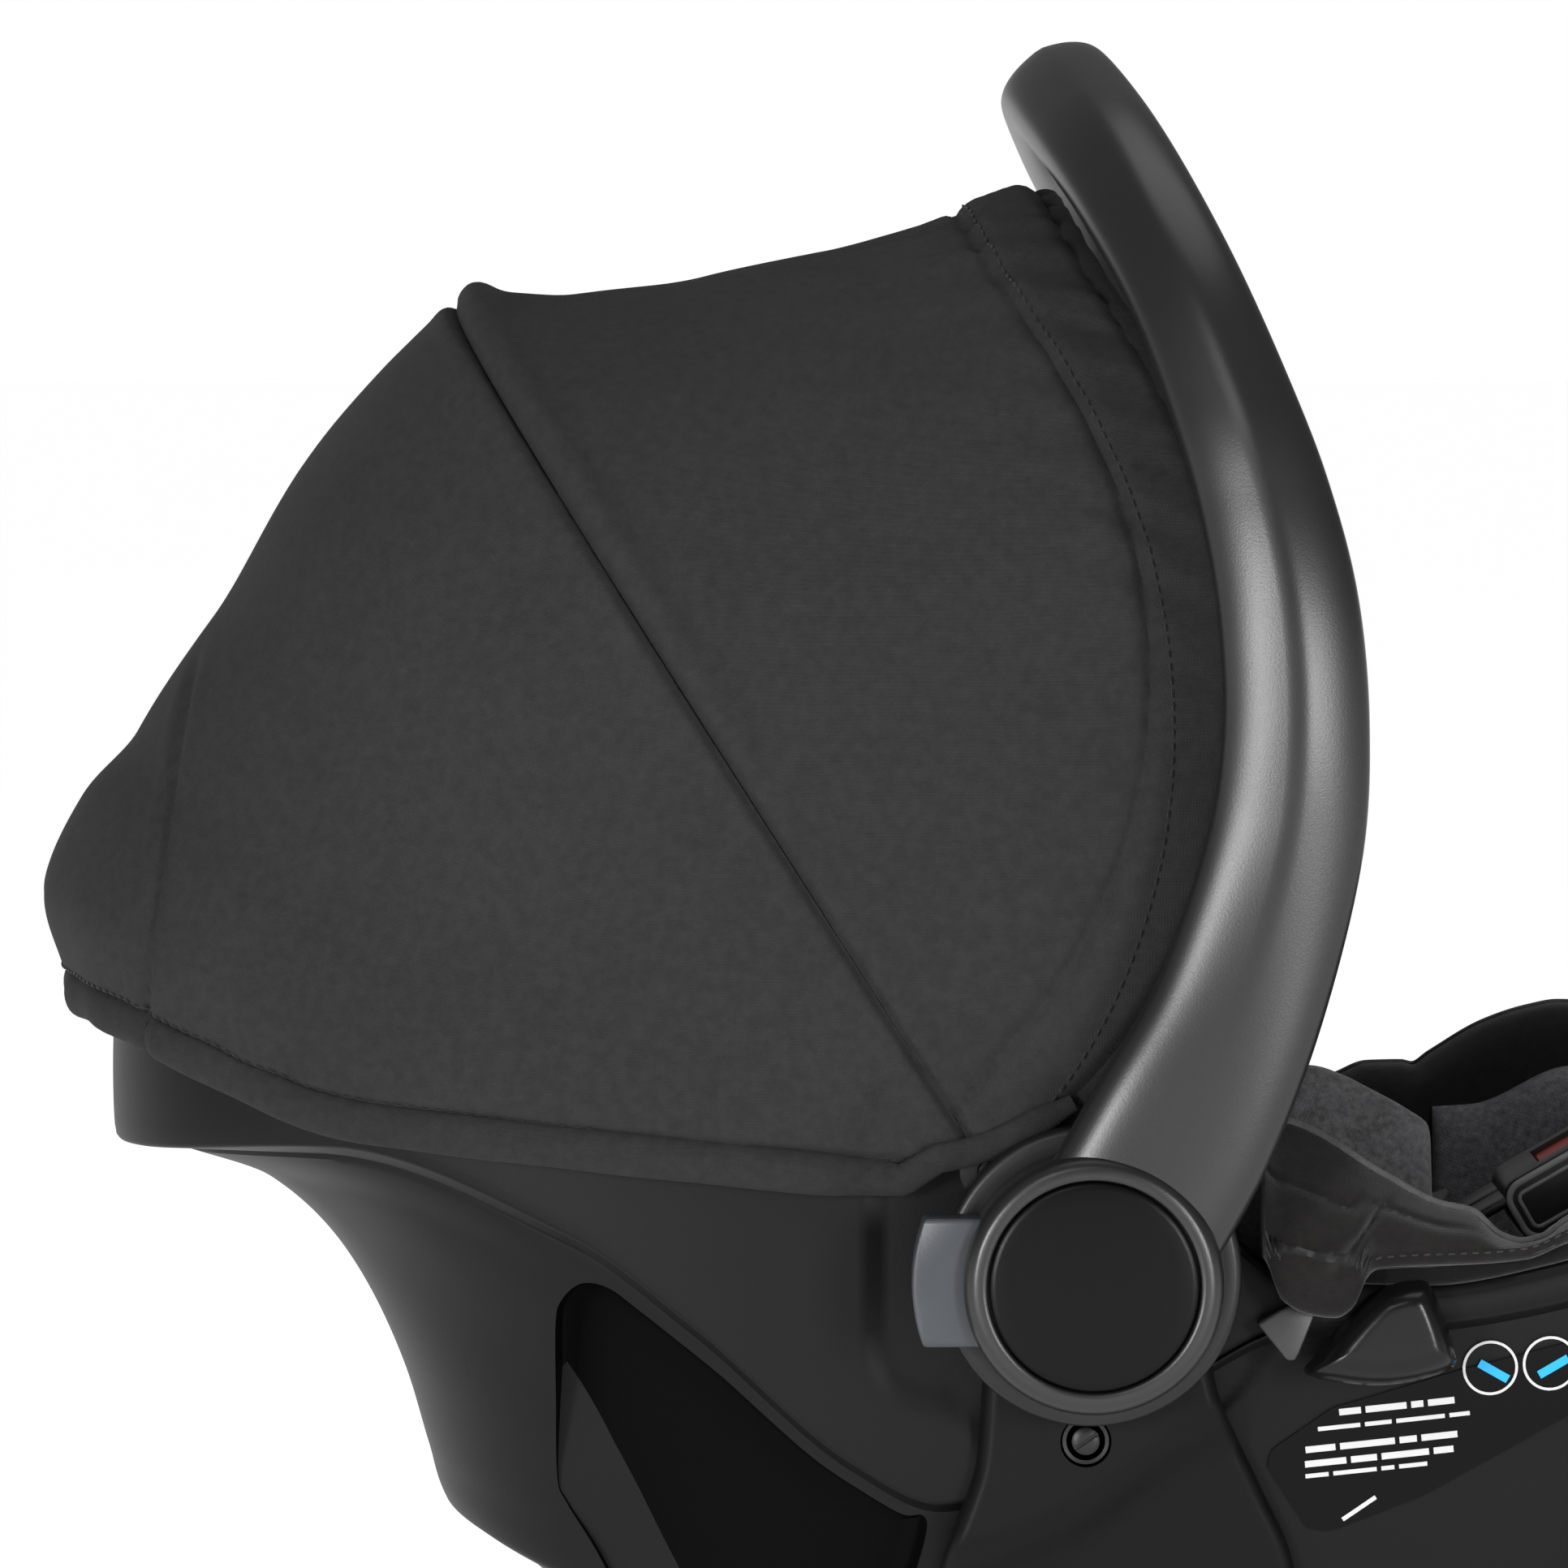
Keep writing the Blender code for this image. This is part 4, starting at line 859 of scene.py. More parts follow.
def make_handle():
    mirrored = np.array(HANDLE_PATH) * np.array([1, 1, -1, 1, 1])
    full = catmull(np.vstack([mirrored, np.array(HANDLE_PATH)[-2::-1]]), 10)
    last, half = len(full) - 1, len(full) // 2
    loops = []
    for k, (u, w, y, width, thick) in enumerate(full):
        near = min(k, last - k)
        a, b = full[max(0, near - 1)], full[min(half, near + 1)]
        rise = unit(np.array([b[0] - a[0], b[1] - a[1]]))
        normal = np.array([rise[1], 0, -rise[0]])
        before, after = full[max(0, k - 1)], full[min(last, k + 1)]
        along = unit(np.array([after[0] - before[0], after[2] - before[2], after[1] - before[1]]))
        cross = unit(np.cross(along, normal))
        fa, fb = handle_section(near / half)
        centre = np.array([HUB_X + u, y, HUB_Z + w])
        loops.append(centre + normal * fa[:, None] * width / 2 + cross * fb[:, None] * thick / 2)
    bail = tube("handle_arch", loops, LOOK["handle"], True, 60)
    tools = []
    for side in SIDES.values():
        tools.append(turned("bore", HUB_X, HUB_Z, side, [(0.0312, 0.180), (0.0312, 0.240)],
                            LOOK["handle"], 96))
        tools.append(box_piece("slot", (HUB_X - 0.0338, side * 0.20725, HUB_Z + 0.001),
                               (0.0226, 0.0155, 0.0425), LOOK["handle"], 0, 0))
    cut(bail, *tools)
    show(bail, "handle", "handle_plastic", "handle_bail")


# ---- canopy ----
CANOPY_TOP = [(86, 0.292), (91, 0.2835), (100, 0.2755), (108, 0.2765), (116, 0.287), (122.7, 0.3035),
              (127, 0.301), (136, 0.294), (147, 0.2857), (157, 0.286), (163, 0.293), (169, 0.297),
              (174.7, 0.286)]
MID_ANGLE, FRONT_ANGLE, HEM_ANGLE = 122.7, 86.0, 174.7
RIB_START = 0.004
SHEET = 0.0014


def arch_points(half, reach, exponent, count, start=RIB_START):
    q = math.pi * (0.5 - 0.5 * np.cos(math.pi * np.arange(1, 4000) / 4000))
    out = reach * power(np.sin(q), 2 / exponent)
    across = -half * power(np.cos(q), 2 / exponent)
    keep = out >= start
    return resample(np.stack([across[keep], out[keep]], 1), count)


def front_angle(out, reach):
    """The front edge bulges forward beside the child, and its free edge reaches past the front bow."""
    past_bow = curve([(0.0, 9.0), (0.35, 9.0), (0.46, 8.6), (0.63, 7.4), (0.80, 4.4), (0.92, 1.4),
                      (1.0, 0.0)], out / reach)
    return FRONT_ANGLE - 46 * np.maximum(0.0, 1 - out / reach) ** 1.35 - past_bow


def hem_lift(x):
    """The lower hem climbs towards the back of the head."""
    return 0.0215 * smooth(-0.225, -0.325, x)


def rib(apex_angle, count, half=CANOPY_HALF, exponent=3.0, inset=0.0):
    """Points on one rib of the canopy, from beside the right pivot over the top to the left one."""
    reach = curve(CANOPY_TOP, apex_angle) - inset
    line = arch_points(half - inset, reach, exponent, count)
    out = line[:, 1]
    angle = np.full(count, apex_angle)
    share = min(1.0, (MID_ANGLE - apex_angle) / (MID_ANGLE - FRONT_ANGLE))
    if share > 0:
        angle = lerp(MID_ANGLE, front_angle(out, reach), share)
    a = np.radians(angle)
    x, z = PIVOT_X + out * np.cos(a), PIVOT_Z + out * np.sin(a)
    low = smooth(MID_ANGLE + 14, HEM_ANGLE, apex_angle)
    slim = 1 - 0.016 * smooth(0.050, 0.030, out)
    return np.stack([x, line[:, 0] * slim, z + hem_lift(x) * low], 1)


def wobble(points, scale, seed):
    """Slow smooth noise at each point, from -1 to 1."""
    flat = points.reshape(-1, 3)
    values = [noise.noise(Vector(p) * scale + Vector((seed, seed * 0.7, -seed))) for p in flat]
    return np.array(values).reshape(points.shape[:-1])


def along_rib(grid):
    """Distance of each grid point along its rib, from the right end."""
    step = np.linalg.norm(np.diff(grid, axis=1), axis=2)
    return np.concatenate([np.zeros((grid.shape[0], 1)), np.cumsum(step, axis=1)], axis=1)


def across_rib(grid):
    """Distance of each grid point from the panel's first rib."""
    step = np.linalg.norm(np.diff(grid, axis=0), axis=2)
    return np.concatenate([np.zeros((1, grid.shape[1])), np.cumsum(step, axis=0)], axis=0)


def spaced(a, b, count, ease=0.35):
    """Values from a to b, a little denser at both ends."""
    t = np.linspace(0, 1, count)
    return a + (b - a) * lerp(t, 0.5 - 0.5 * np.cos(math.pi * t), ease)


def panel_grid(angles, count=300):
    grid = np.stack([rib(a, count) for a in angles])
    normal = grid_normals(grid)
    middle = np.array([PIVOT_X - 0.06, 0.0, PIVOT_Z + 0.05])
    facing = np.sign(np.sum(normal * (grid - middle), axis=2, keepdims=True))
    return grid, normal * facing


def bell(d, width):
    return np.exp(-(d / width) ** 2)


def puckers(grid, fall, pitch, seed):
    """Small gathers that run away from a seam, of uneven size and reach, and fade out over their length."""
    s = along_rib(grid)
    phase = 3.6 * wobble(grid, 17.0, seed)
    uneven = np.clip(0.75 + 1.1 * wobble(grid, 28.0, seed + 9.0), 0.0, 1.5)
    return np.sin(2 * math.pi * s / pitch + phase) * uneven * np.exp(-fall)


def make_rear_panel():
    angles = spaced(MID_ANGLE + 0.05, HEM_ANGLE, 150)
    grid, normal = panel_grid(angles)
    from_seam = across_rib(grid)
    from_hem = from_seam[-1:] - from_seam
    lift = 0.0016 * wobble(grid, 9.0, 3.1) + 0.0007 * wobble(grid, 26.0, 7.7)
    lift *= smooth(0.0, 0.03, from_seam)
    lift += -0.0026 * bell(from_seam, 0.0016) + 0.0007 * bell(from_seam - 0.0045, 0.0035)
    lift += 0.00022 * puckers(grid, from_seam / 0.010, 0.017, 1.3)
    lift += 0.0008 * puckers(grid, from_hem / 0.024, 0.037, 5.2) * smooth(0.0, 0.004, from_hem)
    lift += -0.0030 * bell(from_hem, 0.0022)
    seam = grid[..., 0] + 0.290 - 0.11 * (grid[..., 2] - 0.335)
    side_on = smooth(0.12, 0.35, np.abs(normal[..., 1]))
    lift += (-0.0020 * bell(seam, 0.0015) + 0.0006 * bell(np.abs(seam) - 0.0035, 0.002)) * side_on
    outer = grid + normal * lift[..., None]
    panel = skin("canopy_rear", outer, outer - normal * SHEET, LOOK["canopy"], 55)
    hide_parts("canopy_rear_panel")
    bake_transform(panel)
    return panel, outer, normal


def make_front_panel():
    angles = spaced(FRONT_ANGLE, MID_ANGLE - 0.05, 120)
    grid, normal = panel_grid(angles)
    from_edge = across_rib(grid)
    from_seam = from_edge[-1:] - from_edge
    on_top = smooth(0.10, 0.24, np.hypot(grid[..., 0] - PIVOT_X, grid[..., 2] - PIVOT_Z))
    lift = 0.0015 * wobble(grid, 8.0, 12.4) + 0.0007 * wobble(grid, 24.0, 15.7)
    lift *= smooth(0.0, 0.03, from_seam)
    lift += -0.0026 * bell(from_seam, 0.0016)
    lift += 0.0034 * bell(from_seam - 0.0075, 0.0055) * on_top + 0.0008 * bell(from_seam - 0.006, 0.004)
    lift += 0.0002 * puckers(grid, from_seam / 0.010, 0.016, 2.3)
    band = 0.028
    lift += -0.0016 * bell(from_edge - band, 0.0016)
    lift += 0.0017 * smooth(band, band - 0.008, from_edge) * smooth(0.0, 0.006, from_edge)
    folds = puckers(grid, np.abs(from_edge - band * 0.8) / 0.026, 0.024, 8.2)
    lift += 0.0015 * folds * lerp(0.06, 1.0, on_top)
    lift += 0.0007 * puckers(grid, np.abs(from_edge - 0.004) / 0.010, 0.011, 4.4) * on_top
    lift -= 0.003 * bell(from_edge, 0.004)
    outer = grid + normal * lift[..., None]
    panel = skin("canopy_front", outer, outer - normal * SHEET, LOOK["canopy"], 55)
    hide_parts("canopy_front_panel")
    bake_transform(panel)
    row = int(np.argmin(np.abs(from_edge[:, 150] - band + 0.0035)))
    return panel, outer, normal, row


HEM_TAIL = [(-0.0560, 0.1880, 0.2592), (-0.0480, 0.1880, 0.2608), (-0.0400, 0.1878, 0.2632),
            (-0.0320, 0.1874, 0.2668), (-0.0240, 0.1868, 0.2712), (-0.0160, 0.1860, 0.2756)]


def rolled_band(name, path, normals, radii, look, sides=20, taper=None):
    """A rolled fabric edge along a path; radii are its half sizes out of and along the sheet."""
    loops = []
    taper = np.ones(len(path)) if taper is None else taper
    for k, p in enumerate(path):
        along = unit(path[min(k + 1, len(path) - 1)] - path[max(k - 1, 0)])
        n = unit(normals[k] - along * float(np.dot(normals[k], along)))
        b = np.cross(along, n)
        q = np.linspace(0, 2 * math.pi, sides, endpoint=False)[:, None]
        loops.append(p + n * (np.cos(q) * radii[0] * taper[k]) + b * (np.sin(q) * radii[1] * taper[k]))
    return tube(name, loops, look, True, 60)


def make_canopy():
    rear, rear_grid, rear_normal = make_rear_panel()
    front, front_grid, front_normal, stitch_row = make_front_panel()
    hem_path = rear_grid[-1] + np.array([0, 0, -0.0052])
    outward = rear_normal[-1].copy()
    outward[:, 2] *= 0.2
    waves = along_rib(rear_grid)[-1] * 2 * math.pi / 0.047
    puff = 0.0006 * np.sin(waves + 4 * wobble(rear_grid[-1], 12.0, 2.0))
    hem_path = hem_path + rear_normal[-1] * puff[:, None]
    keep = hem_path[:, 0] < -0.064
    tails = []
    for side in (-1, 1):
        tail = np.array([(x, side * y, z) for x, y, z in HEM_TAIL])
        tails.append(tail[::-1] if side < 0 else tail)
    flat_out = [np.tile((0.0, side * 1.0, 0.0), (len(HEM_TAIL), 1)) for side in (-1, 1)]
    path = np.vstack([tails[0], hem_path[keep], tails[1]])
    path, outward = resample(path, 420), np.vstack([flat_out[0], outward[keep], flat_out[1]])
    outward = resample(outward, 420)
    reach = np.abs(np.linspace(-1, 1, 420))
    taper = lerp(1.0, 0.66, smooth(0.80, 0.90, reach)) * lerp(1.0, 0.6, smooth(0.97, 1.0, reach))
    hem = rolled_band("canopy_hem", path, outward, (0.0040, 0.0066), LOOK["hem"], 24, taper)
    show(hem, "carrier", "canopy_fabric")
    row = int(np.argmin(np.abs(across_rib(rear_grid)[-1, 150] - across_rib(rear_grid)[:, 150] - 0.0050)))
    line = rear_grid[row] + rear_normal[row] * 0.0003
    show(capsules("hem_stitches", stitch_marks(line, 0.0042, 0.0028), 0.00040, LOOK["stitch"]), "carrier",
         "canopy_fabric")
    line = front_grid[stitch_row] + front_normal[stitch_row] * 0.0003
    front_stitches = capsules("front_stitches", stitch_marks(line, 0.0040, 0.0026), 0.00040, LOOK["stitch"])
    show(front_stitches, "canopy_front", "canopy_fabric")
    edge = front_grid[0] - front_normal[0] * 0.0012
    binding = rolled_band("front_binding", edge, front_normal[0], (0.0026, 0.0042), LOOK["binding"])
    show(binding, "canopy_front", "canopy_fabric")


# ---- soft goods ----
def inflate(made, cap, held=None, voxel=0.005, bottom=None):
    """Swells a soft piece under pressure, up to the cap; held(x, y, z) is 1 along sewn lines."""
    remesh = made.modifiers.new("Remesh", "REMESH")
    remesh.mode, remesh.voxel_size = "VOXEL", voxel
    apply_modifiers(made)
    count = len(made.data.vertices)
    rest = np.empty(count * 3, np.float32)
    made.data.vertices.foreach_get("co", rest)
    rest = rest.reshape(-1, 3).astype(float)
    pinned = np.zeros(count) if held is None else held(*rest.T)
    group = made.vertex_groups.new(name="held")
    for k in np.nonzero(pinned > 0.02)[0]:
        group.add([int(k)], float(min(1.0, pinned[k])), "REPLACE")
    change = made.modifiers.new("Cloth", "CLOTH")
    cloth_settings = change.settings
    cloth_settings.quality = 5
    cloth_settings.mass = 0.3
    cloth_settings.tension_stiffness = cloth_settings.compression_stiffness = 12
    cloth_settings.shear_stiffness = 5
    cloth_settings.bending_stiffness = 0.3
    cloth_settings.use_pressure = True
    cloth_settings.uniform_pressure_force = 4.0
    cloth_settings.effector_weights.gravity = 0
    cloth_settings.vertex_group_mass = "held"
    change.point_cache.frame_start, change.point_cache.frame_end = 1, 20
    scene = bpy.context.scene
    for frame_number in range(1, 21):
        scene.frame_set(frame_number)
    made_now = made.evaluated_get(bpy.context.evaluated_depsgraph_get())
    swollen = np.empty(count * 3, np.float32)
    made_now.data.vertices.foreach_get("co", swollen)
    move = swollen.reshape(-1, 3).astype(float) - rest
    far = np.linalg.norm(move, axis=1, keepdims=True)
    share = np.minimum(1.0, cap / np.maximum(far, 1e-9))
    rest = rest + move * share
    made.modifiers.clear()
    made.vertex_groups.clear()
    scene.frame_set(1)
    if bottom is not None:
        rest[:, 2] = np.maximum(rest[:, 2], bottom(rest[:, 0], rest[:, 1]))
    made.data.vertices.foreach_set("co", rest.astype(np.float32).ravel())
    finer = made.modifiers.new("Subdivision", "SUBSURF")
    finer.levels = finer.render_levels = 1
    apply_modifiers(made)
    made.data.shade_smooth()
    return made


def sink(made, groove, depth, texture=0.0, scale=40.0):
    """Presses sewn lines in along the normals, groove(x, y, z) being 1 on a line, and adds fine rumples."""
    count = len(made.data.vertices)
    co, no = np.empty(count * 3, np.float32), np.empty(count * 3, np.float32)
    made.data.vertices.foreach_get("co", co)
    made.data.vertices.foreach_get("normal", no)
    co, no = co.reshape(-1, 3).astype(float), no.reshape(-1, 3).astype(float)
    line = groove(*co.T)
    move = -depth * line + texture * wobble(co, scale, 2.7)
    made.data.vertices.foreach_set("co", (co + no * move[:, None]).astype(np.float32).ravel())
    made.data.update()


def bowl_top(x, y):
    return bowl_z(np.asarray(x), np.asarray(y))


def pad_lines(x, y, z):
    """Sewn lines of the seat pad: two along its length, and cross lines on the back and the seat."""
    lengthwise = bell(np.abs(np.abs(y) - 0.088), 0.0035)
    cross = sum(bell(x - at - 0.06 * y * y / 0.02, 0.0035) for at in (-0.235, -0.165, 0.110, 0.190))
    return np.clip(np.maximum(lengthwise, cross * (np.abs(y) < 0.090)), 0, 1)


def make_liner():
    loops = [bowl_loop(s, 0.0012) for s in (0.22, 0.45, 0.68, 0.80, 0.87)]
    loops += [bowl_loop(s, 0.0070) for s in (0.86, 0.79, 0.68, 0.45, 0.22)]
    liner = tube("liner", loops, LOOK["foam"], True, 60)
    show(liner, "carrier", "foam", "foam_liner")


def make_pad():
    shares = (0.22, 0.45, 0.68, 0.80, 0.86, 0.91, 0.95)
    loops = [bowl_loop(s, 0.0085) for s in shares] + [bowl_loop(s, 0.0180) for s in reversed(shares)]
    pad = tube("pad", loops, LOOK["black"], True, 60)
    inflate(pad, 0.0075, pad_lines, 0.0055, lambda x, y: bowl_top(x, y) + 0.0085)
    sink(pad, pad_lines, 0.0022, 0.0008, 34.0)
    show(pad, "carrier", "black_fabric", "seat_pad")


def rounded(a, b, corner=0.22):
    """Maps a square of shares from -1 to 1 to one with rounded corners."""
    return a * (1 - corner * (b * b) ** 3 * 0.5), b * (1 - corner * (a * a) ** 3 * 0.5)


def cushion(name, x0, x1, y0, y1, thick, look, cap, lift=PAD_LIFT + 0.0015, groove=None, depth=0.002,
            voxel=0.0045):
    """A crowned cushion with rounded corners over part of the pad."""
    a, b = np.meshgrid(np.linspace(-1, 1, 40), np.linspace(-1, 1, 40), indexing="ij")
    crown = np.sqrt(np.clip((1 - np.abs(a) ** 4) * (1 - np.abs(b) ** 4), 0, 1))
    a, b = rounded(a, b)
    x, y = lerp(x0, x1, 0.5 + 0.5 * a), lerp(y0, y1, 0.5 + 0.5 * b)
    base = bowl_top(x, y) + lift
    low = np.stack([x, y, base], 2)
    high = np.stack([x, y, base + 0.004 + (thick - 0.004 - cap * 0.7) * crown], 2)
    made = skin(name, high, low, LOOK[look], 60)
    inflate(made, cap, groove, voxel, lambda x, y: bowl_top(x, y) + lift)
    if groove:
        sink(made, groove, depth, 0.0005, 45.0)
    return made


def insert_lines(x, y, z):
    cross = sum(bell(x - at + 1.1 * y * y, 0.0030) for at in (-0.105, -0.020, 0.050))
    return np.clip(cross * (np.abs(y) < 0.070) + bell(np.abs(np.abs(y) - 0.071), 0.0025) * (x < 0.085), 0, 1)


WING_TOP = {"right": [(-0.030, 0.262), (0.020, 0.280), (0.0567, 0.2817), (0.0775, 0.2729), (0.0937, 0.2642)],
            "left": [(-0.030, 0.262), (0.020, 0.278), (0.042, 0.277), (0.058, 0.266), (0.073, 0.2545),
                     (0.0940, 0.2450)]}


def make_wing(side_name):
    """Upright wing of the insert beside the hips."""
    side = SIDES[side_name]
    x = np.linspace(-0.028, 0.0945, 50)
    top = curve(WING_TOP[side_name], x)
    low = bowl_top(x, np.full(50, 0.130)) + PAD_LIFT + 0.001
    t = np.linspace(0, 1, 24)[:, None]
    ends = np.sqrt(np.clip(1 - np.abs(2 * (x - x[0]) / (x[-1] - x[0]) - 1) ** 14, 0, 1))
    half = (0.0055 + 0.0105 * np.clip(1 - t, 0, 1) ** 0.45) * (0.55 + 0.45 * ends)
    z = lerp(low, top + 0.0008, t)
    xx = np.broadcast_to(x, z.shape)
    mid = side * (0.131 + 0 * z)
    outer = np.stack([xx, mid - side * half, z], 2)
    inner = np.stack([xx, mid + side * half, z], 2)
    wing = skin(f"wing_{side_name}", outer, inner, LOOK["grey"], 60)
    inflate(wing, 0.0045, None, 0.0042)
    show(wing, "carrier", "grey_fabric", f"side_bolster_{side_name}")


def make_head_bolster(side_name):
    side = SIDES[side_name]
    made = cushion(f"headrest_{side_name}", -0.213, -0.107, side * 0.093, side * 0.131, 0.029,
                   "bolster", 0.007)
    show(made, "carrier", "black_fabric", f"head_bolster_{side_name}")


def make_insert():
    made = cushion("insert", -0.213, 0.096, -0.082, 0.082, 0.0215, "grey", 0.006, groove=insert_lines)
    show(made, "carrier", "grey_fabric", "body_insert")


# the cover's rolled edge over the rim: heights along its length on each side
COVER = {
    "right": {
        "top": [(0.040, 0.2700), (0.0498, 0.2680), (0.0773, 0.2523), (0.0932, 0.2440), (0.1031, 0.2417),
                (0.1117, 0.2345), (0.1180, 0.2326), (0.1250, 0.2340), (0.131, 0.2385), (0.160, 0.2520),
                (0.220, 0.2680), (0.300, 0.2960)],
        "hem": [(0.040, 0.2330), (0.0428, 0.2240), (0.0455, 0.2175), (0.0534, 0.2130), (0.0613, 0.2120),
                (0.0666, 0.2150), (0.0707, 0.2235), (0.0745, 0.2258), (0.0866, 0.2266), (0.1051, 0.2272),
                (0.1180, 0.2284), (0.1308, 0.2335), (0.180, 0.2480), (0.240, 0.2640), (0.300, 0.2800)]},
    "left": {
        "top": [(0.040, 0.2500), (0.070, 0.2435), (0.0848, 0.2490), (0.0957, 0.2532), (0.1075, 0.2535),
                (0.1110, 0.2528), (0.1168, 0.2565), (0.1348, 0.2672), (0.1499, 0.2724), (0.1604, 0.2743),
                (0.1800, 0.2735), (0.2200, 0.2740), (0.300, 0.2960)],
        "hem": [(0.040, 0.2330), (0.0455, 0.2175), (0.0534, 0.2130), (0.0613, 0.2120), (0.0666, 0.2150),
                (0.0707, 0.2235), (0.0745, 0.2258), (0.1051, 0.2278), (0.1308, 0.2357), (0.180, 0.2480),
                (0.240, 0.2640), (0.300, 0.2800)]}}


def cover_stations(count):
    """Stations along the rim from beside the right hub round the foot end: points and outward normals."""
    rim = outline(RIM_BACK, RIM_FRONT, RIM_HALF, 1400)
    half = len(rim) // 2
    right, left = rim[half:], rim[:half]
    path = np.vstack([right[right[:, 0] > 0.0405], left[left[:, 0] > 0.0405]])
    path = resample(path, count)
    along = np.gradient(path, axis=0)
    along /= np.linalg.norm(along, axis=1)[:, None]
    return path, np.stack([along[:, 1], -along[:, 0]], 1)


def make_rim_cover():
    """Rolled edge of the seat cover: a stitched hem outside the rim, a padded roll, and its inner face."""
    path, out = cover_stations(560)
    x = path[:, 0]
    left = smooth(-0.05, 0.05, path[:, 1])
    top = lerp(curve(COVER["right"]["top"], x), curve(COVER["left"]["top"], x), left)
    hem = lerp(curve(COVER["right"]["hem"], x), curve(COVER["left"]["hem"], x), left)
    rim_z = curve(RIM_Z, x)
    flap = smooth(0.0740, 0.0690, x)
    slack = wobble(np.column_stack([path, rim_z]), 30.0, 4.0)
    loops = []
    for k in range(len(path)):
        high, low, base, f = top[k], hem[k], rim_z[k], flap[k]
        tall = high - low
        bulge = 0.0072 + 0.0012 * slack[k] + 0.0022 * f
        points = np.array([
            (0.0030, low + 0.0006), (0.0056 + 0.003 * f, low - 0.0002), (0.0068 + 0.003 * f, low + 0.0016),
            (0.0066 + 0.003 * f, low + 0.0042), (bulge, low + 0.30 * tall),
            (bulge * 0.80, low + 0.52 * tall), (bulge * 0.30, low + 0.72 * tall),
            (-0.0022, low + 0.90 * tall), (-0.0050, high - 0.0004), (-0.0095, high + 0.0004),
            (-0.0145, high - 0.0030), (-0.0190, high - 0.45 * tall),
            (-0.0225, base - 0.0015), (-0.0215, base - 0.0090), (-0.0190, base - 0.0090),
            (-0.0150, base + 0.0008), (-0.0050, base + 0.0012), (-0.0005, lerp(base, low, 0.6))])
        ring = catmull(np.vstack([points[-1:], points, points[:2]]), 4)[4:-4]
        ring = resample(ring, 110, True)
        d, z = ring[:, 0], ring[:, 1]
        place_x = path[k, 0] + out[k, 0] * d
        line = (place_x - 0.0640) - (z - 0.2281) * (0.0120 / 0.0156)
        inside = smooth(0.2235, 0.2290, z) * smooth(0.2480, 0.2430, z) * (d > -0.006)
        d = d - 0.0026 * bell(line, 0.0016) * inside + 0.0012 * bell(line + 0.0050, 0.0035) * inside
        fold = z - (0.2330 - 0.18 * (place_x - 0.0428))
        d = d + (0.0030 * smooth(0.0004, -0.0004, fold) - 0.0012 * bell(fold - 0.0010, 0.0011)) * f * (d > 0)
        seam = z - lerp(low, high, 0.66)
        d = d - 0.0015 * bell(seam, 0.0009) * (d > -0.003) * smooth(0.11, 0.09, x[k])
        xx, yy = path[k, 0] + out[k, 0] * d, path[k, 1] + out[k, 1] * d
        loops.append(np.stack([xx, yy, z], 1))
    loops = np.array(loops)
    rough = wobble(loops, 38.0, 6.5) * 0.0007 + wobble(loops, 90.0, 1.5) * 0.00025
    side_ways = np.stack([out[:, 0], out[:, 1], np.zeros(len(out))], 1)[:, None, :]
    loops = loops + side_ways * rough[..., None]
    made = tube("cover_roll", list(loops), LOOK["black"], True, 60)
    show(made, "carrier", "black_fabric", "rim_cover")

    def follow(offset, rise, of_top=0.0):
        z = lerp(hem, top, of_top) + rise
        return np.stack([path[:, 0] + out[:, 0] * offset, path[:, 1] + out[:, 1] * offset, z], 1)

    normal = np.stack([out[:, 0], out[:, 1], np.zeros(len(out))], 1)
    stitched = follow(0.0, 0.0034)
    stitched[:, :2] += out * (0.0069 + 0.003 * flap)[:, None]
    show(capsules("cover_stitches", stitch_marks(stitched, 0.0036, 0.0021), 0.00032, LOOK["thread_light"]),
         "carrier", "black_fabric")
    piping = rolled_band("cover_piping", follow(-0.0040, 0.0004, 1.0), normal, (0.0009, 0.0009),
                         LOOK["piping"], 12)
    show(piping, "carrier", "black_fabric")
    gasket_low = np.stack([path[:, 0] - out[:, 0] * 0.0030, path[:, 1] - out[:, 1] * 0.0030,
                           0.5 * (rim_z + hem) + 0.0006], 1)
    gasket_low = gasket_low[x > 0.068]
    high = (0.5 * (hem - rim_z) + 0.0008)[x > 0.068]
    turn = normal[x > 0.068]
    rings = []
    for k, p in enumerate(gasket_low):
        q = np.linspace(0, 2 * math.pi, 20, endpoint=False)
        rings.append(p + turn[k] * (power(np.cos(q), 0.6) * 0.0042)[:, None]
                     + np.array([0, 0, 1.0]) * (power(np.sin(q), 0.6) * max(0.0015, high[k]))[:, None])
    show(tube("cover_binding", rings, LOOK["bolster"], True, 60), "carrier", "black_fabric")


